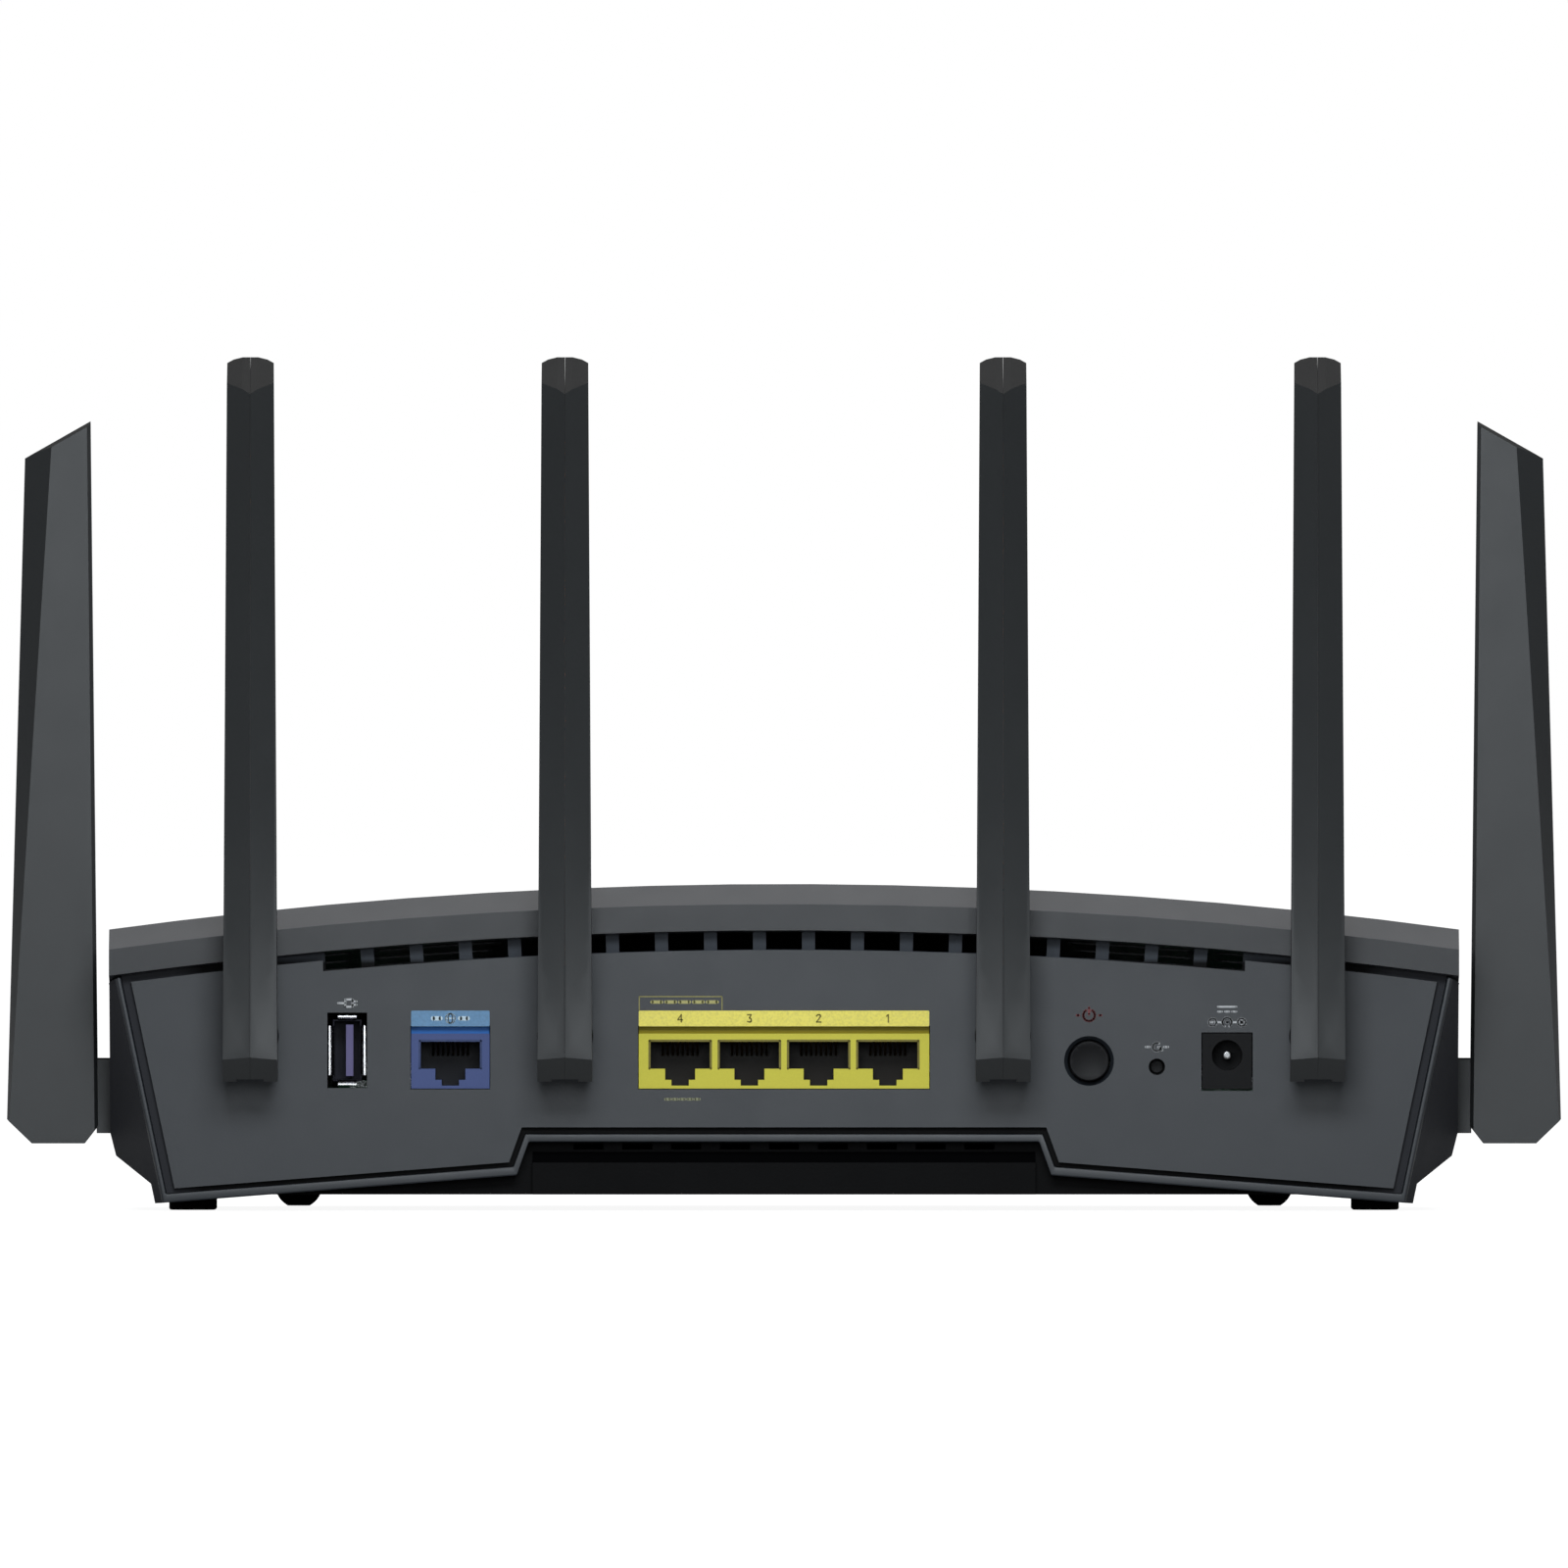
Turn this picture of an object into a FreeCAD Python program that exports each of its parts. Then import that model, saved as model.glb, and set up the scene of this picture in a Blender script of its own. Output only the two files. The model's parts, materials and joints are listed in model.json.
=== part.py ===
import FreeCAD, Part
import math
import os

# A six-antenna wireless router, in millimetres. +Z is up, the port side faces -Y, and the origin is
# on the table under the middle of the bounding box. Antennas are numbered from left to right as
# seen from the port side: 1 and 6 stand beside the case, 2 to 5 stand behind it.

V = FreeCAD.Vector

# --- driving dimensions -------------------------------------------------------------------------
OVERALL_WIDTH = 321.8
OVERALL_DEPTH = 200.0

CASE_HALF_WIDTH = 139.4
RIM_Y = -79.5                 # rear face of the top cover's rim
FRONT_Y = OVERALL_DEPTH / 2
ARCH_RADIUS = 1040.0          # the top surface is arched from side to side
TOP_Z = 68.2                  # crown of the top surface, carried back to the rim
TOP_SLOPE = -0.155            # the top falls towards the front
RIM_CHAMFER_Z = 63.2
RIM_CHAMFER_SLOPE = 0.76
NOSE_Z = 34.5
NOSE_SLOPE = -0.8
PARTING_Z = 57.8              # underside of the rim at the crown
PARTING_GAP = 0.35
WALL = 2.2
UNDERSIDE_Z = 3.2
CHAMFER_TOP_Z = 15.8          # the side wall turns in gently here, then steeply at the knee
KNEE = (138.2, 11.1)
UNDERSIDE_HALF_WIDTH = 127.9
UNDERCUT = 12.0               # how far the front wall leans in, from the nose to the underside
UNDERCUT_Z = 30.0

FRAME_Y = -77.8               # rear face of the frame round the port panel
FRAME_BACK_Y = -76.5          # where the frame sits on the bottom cover's cheeks
SHELL_REAR_Y = -72.0          # rear face of the bottom cover's walls
PANEL_Y = -76.5               # rear face of the port panel
PANEL_STEP_Y = -74.9          # floor of the groove round it, where its backing starts
PANEL_BACK_Y = -73.3
FACET_DEPTH = 25.8            # how far forward the triangular side facets run

BOARD_TOP_Z = 25.1
BOARD_THICKNESS = 1.6
BOARD_HALF_WIDTH = 104.0
BOARD_FRONT_Y = 52.0

REAR_ANTENNA_X = (-110.1, -45.2, 45.2, 110.1)
REAR_PIN_Z = 35.9
SIDE_PIN_Z = 22.9
SIDE_ANTENNA_Y = -42.0

PADDLE_LENGTH = 149.5
PADDLE_WIDTH = 18.9
PIN_FROM_INNER_EDGE = 10.0
PIN_ABOVE_END = 9.3
SIDE_PIN_X = OVERALL_WIDTH / 2 - (PADDLE_WIDTH - PIN_FROM_INNER_EDGE)
REAR_PIN_Y = -OVERALL_DEPTH / 2 + (PADDLE_WIDTH - PIN_FROM_INNER_EDGE)
PIN_R = 1.5
PIN_HALF_LENGTH = 4.6
TONGUE_HALF = 2.5
TONGUE_R = 3.8
NECK_TOP = 5.2
FLANGE_R = 5.4
SPIGOT_R = 4.2
SPIGOT_BORE_R = 4.28
FLANGE_FACE = 14.0            # distances from the hinge pin towards the case
FLANGE_BACK = 16.0
SEAT_FLOOR = 16.2
BEARING_END = 20.2
FLARE_R = 8.4                 # a side antenna's neck flares out where it meets the case
FLARE_BOTTOM = -7.2
SIDE_SEAT_FACE = 12.9         # floor of the round recess that the flare turns in

JACK_Z = (25.1, 37.9)
JACK_BROW_Z = 36.45           # above this the jacks' faces are set back
JACK_FACE_Y = -76.1
JACK_DEPTH = 15.8
WAN_X = -68.9
WAN_WIDTH = 16.2
LAN_WIDTH = 60.0
LAN_PITCH = 14.3
USB_X = -90.2
USB_Z = 33.0
DC_X = 91.5
DC_Z = 32.0
POWER_HOLE_R = 4.45
POWER_X = 63.0
POWER_Z = 30.8
RESET_X = 77.0
RESET_Z = 29.6
SIDE_BUTTON_Y = (22.0, 38.0)
SIDE_BUTTON_Z = 26.0

OUT = "parts"


# --- small tools --------------------------------------------------------------------------------
def box(x, y, z):
    """A box from three (low, high) pairs."""
    return Part.makeBox(x[1] - x[0], y[1] - y[0], z[1] - z[0], V(x[0], y[0], z[0]))


def rod(radius, start, end):
    """A cylinder between two points."""
    a, b = V(*start), V(*end)
    return Part.makeCylinder(radius, (b - a).Length, a, b - a)


def prism(points, sweep):
    """A closed polygon of 3-D points, swept along a vector."""
    corners = [V(*p) for p in points]
    return Part.Face(Part.makePolygon(corners + corners[:1])).extrude(V(*sweep))


def prism_y(points, y):
    """An (x, z) polygon swept from y[0] to y[1]."""
    return prism([(x, y[0], z) for x, z in points], (0, y[1] - y[0], 0))


def prism_x(points, x):
    """A (y, z) polygon swept from x[0] to x[1]."""
    return prism([(x[0], y, z) for y, z in points], (x[1] - x[0], 0, 0))


def half_space(point, normal, size=600.0):
    """Everything on the side of a plane that its normal points to."""
    block = Part.makeBox(size, size, size, V(-size / 2, -size / 2, 0))
    block.Placement = FreeCAD.Placement(V(*point), FreeCAD.Rotation(V(0, 0, 1), V(*normal)))
    return block


def half_space_through(a, b, c, outside):
    """The side of the plane through three points that holds the point `outside`."""
    a, b, c, outside = V(*a), V(*b), V(*c), V(*outside)
    normal = (b - a).cross(c - a)
    if normal.dot(outside - a) < 0:
        normal = -normal
    return half_space(tuple(a), tuple(normal))


def common(first, *others):
    for other in others:
        first = first.common(other)
    return first


def mirror_points(points):
    """An open run of (x, z) points on the left, carried on across the middle to the right."""
    return points + [(-x, z) for x, z in reversed(points)]


def slot_z(centre, length, width, z, angle=0.0):
    """An upright cutter with the plan of a slot with round ends."""
    r, half = width / 2, length / 2 - width / 2
    cutter = box((-half, half), (-r, r), z).fuse(
        [rod(r, (s * half, 0, z[0]), (s * half, 0, z[1])) for s in (-1, 1)]
    )
    turn = FreeCAD.Rotation(V(0, 0, 1), angle)
    cutter.Placement = FreeCAD.Placement(V(centre[0], centre[1], 0), turn)
    return cutter


def arch_drop(x):
    """How far the arch has fallen at x from its crown."""
    return ARCH_RADIUS - math.sqrt(ARCH_RADIUS**2 - x**2)


def under_arch(z_crown, slope, y_at, depth=400.0):
    """The space under an arched surface whose crown is at z_crown at y_at and climbs with slope."""
    half, length = 175.0, 320.0
    y = -160.0
    z = z_crown + slope * (y - y_at)
    low = z - arch_drop(half)
    top = Part.Arc(V(-half, y, low), V(0, y, z), V(half, y, low)).toShape()
    rest = Part.makePolygon(
        [V(half, y, low), V(half, y, z - depth), V(-half, y, z - depth), V(-half, y, low)]
    )
    face = Part.Face(Part.Wire([top] + rest.Edges))
    return face.extrude(V(0, length, slope * length))


# --- the case -----------------------------------------------------------------------------------
CORNER_START_Y = 50.0
CORNER_R = 16.0
CORNER_END = (117.0, 88.0)


def plan_face(inset, rear_y, z):
    """The case seen from above: straight rear and sides, cut front corners, a bowed front."""
    w, (cx, cy) = CASE_HALF_WIDTH, CORNER_END
    bow = Part.Arc(V(cx, cy, z), V(0, FRONT_Y, z), V(-cx, cy, z)).toShape()
    left = Part.makePolygon([V(-cx, cy, z), V(-w, CORNER_START_Y, z), V(-w, rear_y, z), V(w, rear_y, z)])
    right = Part.makePolygon([V(w, rear_y, z), V(w, CORNER_START_Y, z), V(cx, cy, z)])
    slab = Part.Face(Part.Wire([bow] + left.Edges + right.Edges)).extrude(V(0, 0, 1))
    corners = [e for e in slab.Edges if e.BoundBox.ZLength > 0.9 and e.BoundBox.YMin > 0]
    slab = slab.makeFillet(CORNER_R, corners)
    face = [f for f in slab.Faces if f.BoundBox.ZMax < z + 0.5][0]
    return face.makeOffset2D(-inset) if inset else face


def plan_prism(inset, rear_y=RIM_Y):
    return plan_face(inset, rear_y, -10.0).extrude(V(0, 0, 100.0))


def top_region(inset):
    """Everything under the top surface, the rim's chamfer and the nose's chamfer, `inset` lower."""
    return common(
        plan_prism(inset),
        under_arch(TOP_Z - inset, TOP_SLOPE, RIM_Y),
        under_arch(RIM_CHAMFER_Z - inset * 0.6, RIM_CHAMFER_SLOPE, RIM_Y),
        under_arch(NOSE_Z - inset * 0.6, NOSE_SLOPE, FRONT_Y),
    )


def side_facet(side, inset=0.0):
    """The space outside the triangular facet between the slanted frame and the upright side wall."""
    top, low = (side * (138.4 - inset), FRAME_Y, 50.5), (side * (128.1 - inset), FRAME_Y, 1.5)
    tip = (side * (CASE_HALF_WIDTH - inset), FRAME_Y + FACET_DEPTH, CHAMFER_TOP_Z)
    return half_space_through(top, low, tip, (side * 200.0, FRAME_Y, 20.0))


def lower_region(inset, top_lift=0.0):
    """The outside of the case below the parting line, or its inside where inset is the wall."""
    w, u = CASE_HALF_WIDTH - inset, UNDERSIDE_HALF_WIDTH - inset * 0.6
    floor = UNDERSIDE_Z + inset
    knee = (-KNEE[0] + inset, KNEE[1] + inset * 0.3)
    section = mirror_points([(-w, 90.0), (-w, CHAMFER_TOP_Z + inset * 0.4), knee, (-u, floor)])
    drop = UNDERCUT_Z + 10.0
    lean = V(0, UNDERCUT / (UNDERCUT_Z - UNDERSIDE_Z), 1.0)
    undercut = plan_face(inset, RIM_Y - 60.0, UNDERCUT_Z).translated(-lean * drop)
    region = common(
        plan_prism(inset),
        under_arch(PARTING_Z - PARTING_GAP + top_lift, TOP_SLOPE, RIM_Y),
        prism_y(section, (-150.0, 150.0)),
        undercut.extrude(lean * (drop + 40.0)),
    )
    for side in (-1, 1):
        region = region.cut(side_facet(side, inset))
    return region


BOSS_XY = ((-124.0, -24.0), (124.0, -24.0), (-80.0, 66.0), (80.0, 66.0))
BOSS_FOOT_Z = 8.0
WELL_R = 4.6
SCREW_R = 1.5
SCREW_HEAD_R = 2.8
SCREW_HEAD_H = 2.0
SCREW_SEAT_Z = 6.0


def top_vents():
    """Two fields of long slots, each pair split by a rib, that narrow towards the front."""
    cutters = []
    for row in range(11):
        y = -50.0 + 10.0 * row
        inner, outer = 54.0 + 1.6 * row, 118.0 - 0.8 * row
        length = (outer - inner) / 2 - 2.1
        for side in (-1, 1):
            for centre in (inner + length / 2, outer - length / 2):
                cutters.append(slot_z((side * centre, y), length, 2.6, (20.0, 80.0)))
    return cutters


LIGHT_COUNT = 7
LIGHT_PITCH = 9.0
LIGHT_SIZE = (3.4, 1.7)
LIGHT_Z = 32.4


def light_positions():
    return [(i - (LIGHT_COUNT - 1) / 2) * LIGHT_PITCH for i in range(LIGHT_COUNT)]


def top_grooves():
    """Two shallow grooves that part the smooth middle of the top from its vented sides."""
    grooves = []
    for side in (-1, 1):
        line = [(44.0, -73.0), (45.2, -73.0), (64.2, 78.0), (63.0, 78.0)]
        grooves.append(prism([(side * x, y, 0.0) for x, y in line], (0, 0, 90.0)))
    return grooves[0].fuse(grooves[1]).cut(top_region(0.7))


def light_windows():
    w, h = LIGHT_SIZE
    z = (LIGHT_Z - h / 2, LIGHT_Z + h / 2)
    return [box((x - w / 2, x + w / 2), (80.0, 110.0), z) for x in light_positions()]


def top_cover():
    outer = top_region(0.0).cut(under_arch(PARTING_Z, TOP_SLOPE, RIM_Y))
    cover = outer.cut(top_region(WALL)).cut(light_windows())
    roof = top_region(WALL / 2)
    for x, y in BOSS_XY:
        boss = rod(4.0, (x, y, BOSS_FOOT_Z), (x, y, 80.0)).common(roof)
        cover = cover.fuse(boss.cut(rod(SCREW_R + 0.05, (x, y, 0), (x, y, BOSS_FOOT_Z + 12.0))))
    return cover.cut(top_vents()).cut(top_grooves())


RECESS_HALF = 52.5            # the dark recess under the middle of the port panel
RECESS_TOP_Z = 14.1
VENT_PITCH = 10.1
POST_XY = ((-97.0, -56.0), (97.0, -56.0), (-97.0, 44.0), (97.0, 44.0))
FOOT_XY = {"rear": (122.2, -58.0), "front": (101.3, 62.0)}
REAR_FOOT = (22.0, 9.8)
DOME_R = 4.8
DOME_FLAT_R = 2.3            # where a domed foot touches the table


def floor_vents():
    cutters = []
    for row in range(5):
        y = -34.0 + 14.0 * row
        for column in range(5):
            x = 20.0 + 9.5 * column
            cutters += [slot_z((s * x, y), 11.0, 2.6, (0.0, 8.0), s * 60.0) for s in (-1, 1)]
    return cutters


def side_seat(side):
    """The boss inside the side wall that a side antenna's swivel turns in."""
    at = (SIDE_ANTENNA_Y, SIDE_PIN_Z)
    reach = (CASE_HALF_WIDTH - 0.5, SIDE_PIN_X - BEARING_END)
    return rod(10.5, (side * reach[0], *at), (side * reach[1], *at)).common(lower_region(0.0))


def side_seat_cutters(side):
    at = (SIDE_ANTENNA_Y, SIDE_PIN_Z)
    runs = ((FLARE_R + 0.5, SIDE_SEAT_FACE), (FLANGE_R + 0.4, SEAT_FLOOR), (SPIGOT_BORE_R, 25.0))
    return [rod(r, (side * SIDE_PIN_X, *at), (side * (SIDE_PIN_X - end), *at)) for r, end in runs]


def rear_wall():
    """The bottom cover's rear wall, stepped where it shows under the middle of the port panel."""
    wings = box((-120.0, 120.0), (SHELL_REAR_Y, SHELL_REAR_Y + 2.0), (UNDERSIDE_Z, 9.0))
    centre = box((-60.0, 60.0), (SHELL_REAR_Y, SHELL_REAR_Y + 2.0), (UNDERSIDE_Z, 16.0))
    y = SHELL_REAR_Y
    step = prism_x(
        [(y, UNDERSIDE_Z), (y, 12.0), (y - 2.6, 9.8), (y - 2.6, UNDERSIDE_Z)],
        (-RECESS_HALF + 0.6, RECESS_HALF - 0.6),
    )
    return wings.fuse([centre, step])


def locating_lip():
    """The upstand that locates the top cover, and the band that joins it to the wall."""
    inner = lower_region(WALL + 1.4, 40.0)
    lip = lower_region(WALL + 0.25, 2.6).cut(inner)
    band = lower_region(WALL - 0.2, -0.4).cut(inner).cut(under_arch(PARTING_Z - 4.0, TOP_SLOPE, RIM_Y))
    lip = lip.fuse(band).common(box((-200, 200), (SHELL_REAR_Y + 3.0, 200), (22.0, 100)))
    return lip.cut(box((-30.0, 30.0), (85.0, 110.0), (31.0, 40.0)))


def bottom_cover():
    shell = lower_region(0.0).cut(lower_region(WALL, 40.0))
    shell = shell.cut(box((-200, 200), (-200, SHELL_REAR_Y), (-10, 100)))
    shell = shell.fuse([locating_lip(), rear_wall(), surround((FRAME_BACK_Y, SHELL_REAR_Y))])
    posts = [rod(3.4, (x, y, UNDERSIDE_Z + 1), (x, y, BOARD_TOP_Z - BOARD_THICKNESS)) for x, y in POST_XY]
    wells = [rod(WELL_R, (x, y, UNDERSIDE_Z + 1), (x, y, BOSS_FOOT_Z - 0.05)) for x, y in BOSS_XY]
    shell = shell.fuse(posts + wells + [side_seat(s) for s in (-1, 1)])
    for side in (-1, 1):
        shell = shell.cut(side_seat_cutters(side))
    shell = shell.cut([rod(1.3, (x, y, 12.0), (x, y, 30.0)) for x, y in POST_XY])
    shell = shell.cut([rod(SCREW_R + 0.1, (x, y, 0), (x, y, 10)) for x, y in BOSS_XY])
    shell = shell.cut([rod(SCREW_HEAD_R + 0.4, (x, y, 0), (x, y, SCREW_SEAT_Z)) for x, y in BOSS_XY])
    shell = shell.cut(floor_vents())
    shell = shell.cut(box((-34, 34), (34.0, 62.0), (0, UNDERSIDE_Z + 0.25)))
    slits = [
        box((i * VENT_PITCH - 3.1, i * VENT_PITCH + 3.1), (-80, SHELL_REAR_Y + 5), (12.5, RECESS_TOP_Z - 0.3))
        for i in range(-4, 5)
    ]
    shell = shell.cut(slits)
    for y in SIDE_BUTTON_Y:
        shell = shell.cut(side_button_plan(y, 0.3, (120.0, 150.0)))
    return shell.removeSplitter()


# --- the frame and the port panel ---------------------------------------------------------------
OUTLINE = [(-138.93, 53.0), (-128.1, 1.5), (-55.2, 7.2), (-52.7, RECESS_TOP_Z)]


def inset_outline(side, bottom, diagonal, middle):
    """The rear outline's points with each edge moved inwards by its own distance."""
    points = OUTLINE + [(52.7, RECESS_TOP_Z)]
    moved = []
    for (a, b), gap in zip(zip(points, points[1:]), (side, bottom, diagonal, middle)):
        d = V(b[0] - a[0], 0, b[1] - a[1]).normalize()
        n = V(-d.z, 0, d.x)
        moved.append((V(a[0], 0, a[1]) + n * gap, d))
    corners = []
    for (p, d), (q, e) in zip(moved, moved[1:]):
        cross = d.x * e.z - d.z * e.x
        t = ((q.x - p.x) * e.z - (q.z - p.z) * e.x) / cross
        corners.append((p.x + d.x * t, p.z + d.z * t))
    start, direction = moved[0]
    t = (75.0 - start.z) / direction.z
    return mirror_points([(start.x + direction.x * t, 75.0)] + corners)


def surround(depth):
    """A ring round the port panel: thin up the sides, broader along the bottom."""
    outer = mirror_points([(-160.0, 75.0), (-160.0, -0.99), OUTLINE[2], OUTLINE[3]])
    band = prism_y(outer, depth).cut(prism_y(inset_outline(0.9, 1.8, 1.2, 1.6), (-90, -60)))
    for side in (-1, 1):
        band = band.cut(side_facet(side))
    band = band.common(under_arch(PARTING_Z - PARTING_GAP, TOP_SLOPE, RIM_Y))
    return band.removeSplitter()


def rear_frame():
    return surround((FRAME_Y, FRAME_BACK_Y))


SLOT_Z = (53.8, 57.5)         # the vent slots under the rim, at the crown
SLOT_WIDTH = 7.4


def vent_row():
    """Slots under the rim that follow the arch."""
    cutters = []
    for i in range(-9, 10):
        x = i * VENT_PITCH
        cutter = Part.makeBox(SLOT_WIDTH, 10.0, SLOT_Z[1] - SLOT_Z[0], V(-SLOT_WIDTH / 2, 0, 0))
        lean = FreeCAD.Rotation(V(0, 1, 0), math.degrees(x / ARCH_RADIUS))
        cutter.Placement = FreeCAD.Placement(V(x, -80.0, SLOT_Z[0] - arch_drop(x)), lean)
        cutters.append(cutter)
    return cutters


def shadow_groove():
    """The groove under the rim that the vent slots open from."""
    reach = 9 * VENT_PITCH + SLOT_WIDTH / 2 + 0.6
    band = under_arch(SLOT_Z[1] + 0.6, 0.0, RIM_Y).cut(under_arch(SLOT_Z[0] - 0.1, 0.0, RIM_Y))
    return band.common(box((-reach, reach), (-90.0, PANEL_STEP_Y), (0.0, 80.0)))


def port_windows():
    """The cut-outs for the sockets and buttons, each a little larger than what it holds."""
    gap, y, (low, high) = 0.15, (-90.0, -70.0), JACK_Z
    windows = [
        box((c - w / 2 - gap, c + w / 2 + gap), y, (low - gap, high + gap))
        for c, w in ((WAN_X, WAN_WIDTH), (0.0, LAN_WIDTH))
    ]
    windows.append(box((USB_X - 4.1, USB_X + 4.1), y, (USB_Z - 7.8, USB_Z + 7.8)))
    windows.append(box((DC_X - 5.3, DC_X + 5.3), y, (24.6, 36.7)))
    windows.append(rod(POWER_HOLE_R, (POWER_X, -90, POWER_Z), (POWER_X, -70, POWER_Z)))
    flare = Part.makeCone(POWER_HOLE_R + 0.7, POWER_HOLE_R, 0.9, V(POWER_X, PANEL_Y, POWER_Z), V(0, 1, 0))
    windows.append(flare)
    windows.append(rod(1.7, (RESET_X, -90, RESET_Z), (RESET_X, -70, RESET_Z)))
    return windows


def panel_outline(insets, lower, depth):
    """A slab of the port panel: inset from the frame, and `lower` below the rim."""
    inside = CASE_HALF_WIDTH - WALL - 0.3
    slab = prism_y(inset_outline(*insets), depth).common(box((-inside, inside), depth, (-10.0, 80.0)))
    return slab.common(under_arch(PARTING_Z - lower, 0.0, RIM_Y))


def rear_panel():
    """The face plate of the port side, with the cut-outs for the sockets, buttons and antennas."""
    face = panel_outline((2.8, 2.8, 2.4, 3.0), 1.9, (PANEL_Y, PANEL_STEP_Y))
    holes = [rod(FLANGE_R + 0.4, (x, -90, REAR_PIN_Z), (x, -60, REAR_PIN_Z)) for x in REAR_ANTENNA_X]
    return face.cut(holes + vent_row() + port_windows() + [shadow_groove()]).removeSplitter()


def panel_backing():
    """The dark plate behind the face plate, with the bosses that the rear antennas turn in."""
    plate = panel_outline((1.0, 1.9, 1.3, 1.7), -1.4, (PANEL_STEP_Y, PANEL_BACK_Y))
    seats, bores = [], []
    for x in REAR_ANTENNA_X:
        seats.append(rod(8.0, (x, PANEL_STEP_Y, REAR_PIN_Z), (x, REAR_PIN_Y + BEARING_END, REAR_PIN_Z)))
        bores.append(rod(SPIGOT_BORE_R, (x, -90, REAR_PIN_Z), (x, -60, REAR_PIN_Z)))
    return plate.fuse(seats).cut(bores + vent_row() + port_windows()).removeSplitter()


# --- feet and screws ----------------------------------------------------------------------------
def domed_foot(x, y):
    """The low end of a ball, cut flat at the table and at the underside."""
    rise = (DOME_R**2 - DOME_FLAT_R**2 + UNDERSIDE_Z**2) / (2 * UNDERSIDE_Z)
    ball = Part.makeSphere(math.hypot(DOME_FLAT_R, rise), V(x, y, rise))
    return ball.common(rod(2 * DOME_R, (x, y, 0.0), (x, y, UNDERSIDE_Z)))


def rubber_feet():
    """Two long flat pads under the rear corners and two domed feet near the front."""
    feet = []
    for side in (-1, 1):
        x, y = FOOT_XY["rear"]
        pad = slot_z((side * x, y), *REAR_FOOT, (0.0, UNDERSIDE_Z), 90.0)
        rim = [e for e in pad.Edges if abs(e.BoundBox.ZMax) < 0.01]
        feet.append(pad.makeFillet(0.5, rim))
        feet.append(domed_foot(side * FOOT_XY["front"][0], FOOT_XY["front"][1]))
    return Part.makeCompound(feet)


def screw(x, y, head_z, up, head_r, head_h, shaft_r, shaft_length):
    """A pan-head screw with a cross recess; `up` is the way its shaft points."""
    head = rod(head_r, (x, y, head_z), (x, y, head_z + up * head_h))
    rim = [e for e in head.Edges if abs(e.BoundBox.ZMax - head_z) < 0.01 and e.BoundBox.ZLength < 0.01]
    head = head.makeFillet(0.4, rim)
    shaft = rod(shaft_r, (x, y, head_z + up * head_h), (x, y, head_z + up * (head_h + shaft_length)))
    deep = sorted((head_z - up * 0.1, head_z + up * 1.0))
    arms = [box((x - a, x + a), (y - b, y + b), deep) for a, b in ((1.5, 0.35), (0.35, 1.5))]
    return head.fuse(shaft).cut(arms)


def case_screws():
    head_z = SCREW_SEAT_Z - SCREW_HEAD_H
    return Part.makeCompound(
        [screw(x, y, head_z, 1, SCREW_HEAD_R, SCREW_HEAD_H - 0.02, SCREW_R, 13.0) for x, y in BOSS_XY]
    )


def board_screws():
    head_h = 1.8
    return Part.makeCompound(
        [screw(x, y, BOARD_TOP_Z + head_h + 0.02, -1, 2.7, head_h, 1.25, 9.0) for x, y in POST_XY]
    )


# --- the circuit board and what it carries ------------------------------------------------------
HEAT_SINK = ((-46.0, 46.0), (-38.0, 34.0))
CHIPS = (
    ((-13.0, 13.0), (-14.0, 12.0), 2.2),
    ((24.0, 38.0), (-12.0, 2.0), 1.4),
    ((-38.0, -24.0), (-12.0, 2.0), 1.4),
    ((-8.0, 8.0), (18.0, 30.0), 1.4),
)


def main_board():
    board = box(
        (-BOARD_HALF_WIDTH, BOARD_HALF_WIDTH),
        (SHELL_REAR_Y + 1.0, BOARD_FRONT_Y),
        (BOARD_TOP_Z - BOARD_THICKNESS, BOARD_TOP_Z),
    )
    corners = [e for e in board.Edges if e.BoundBox.ZLength > 1.0 and e.BoundBox.XLength < 0.01]
    board = board.makeFillet(3.0, corners)
    return board.cut([rod(1.6, (x, y, 0), (x, y, 40)) for x, y in POST_XY])


def board_chips():
    chips = [box(x, y, (BOARD_TOP_Z, BOARD_TOP_Z + h)) for x, y, h in CHIPS]
    chips += [
        box((s * 56.0 - 8, s * 56.0 + 8), (-44.0, -30.0), (BOARD_TOP_Z, BOARD_TOP_Z + 6.0)) for s in (-1, 1)
    ]
    w = LIGHT_SIZE[0]
    chips += [
        box((x - w / 2, x + w / 2), (BOARD_FRONT_Y - 4.0, BOARD_FRONT_Y - 0.5), (BOARD_TOP_Z, BOARD_TOP_Z + 1.2))
        for x in light_positions()
    ]
    return Part.makeCompound(chips)


def rf_shields():
    """Two folded tin cans over the radio chips, with a skirt of vent holes in their lids."""
    cans = []
    for side in (-1, 1):
        x, y, z = sorted((side * 52.0, side * 90.0)), (-18.0, 24.0), (BOARD_TOP_Z, BOARD_TOP_Z + 5.0)
        can = box(x, y, z).cut(
            box((x[0] + 0.4, x[1] - 0.4), (y[0] + 0.4, y[1] - 0.4), (z[0] - 1, z[1] - 0.4))
        )
        holes = [
            rod(1.0, (x[0] + 7 + 6 * i, y[0] + 9 + 8 * j, z[0]), (x[0] + 7 + 6 * i, y[0] + 9 + 8 * j, z[1] + 1))
            for i in range(5)
            for j in range(4)
        ]
        cans.append(can.cut(holes))
    return Part.makeCompound(cans)


def thermal_pad():
    x, y, h = CHIPS[0]
    return box((x[0] + 1, x[1] - 1), (y[0] + 1, y[1] - 1), (BOARD_TOP_Z + h, BOARD_TOP_Z + h + 1.0))


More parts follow.
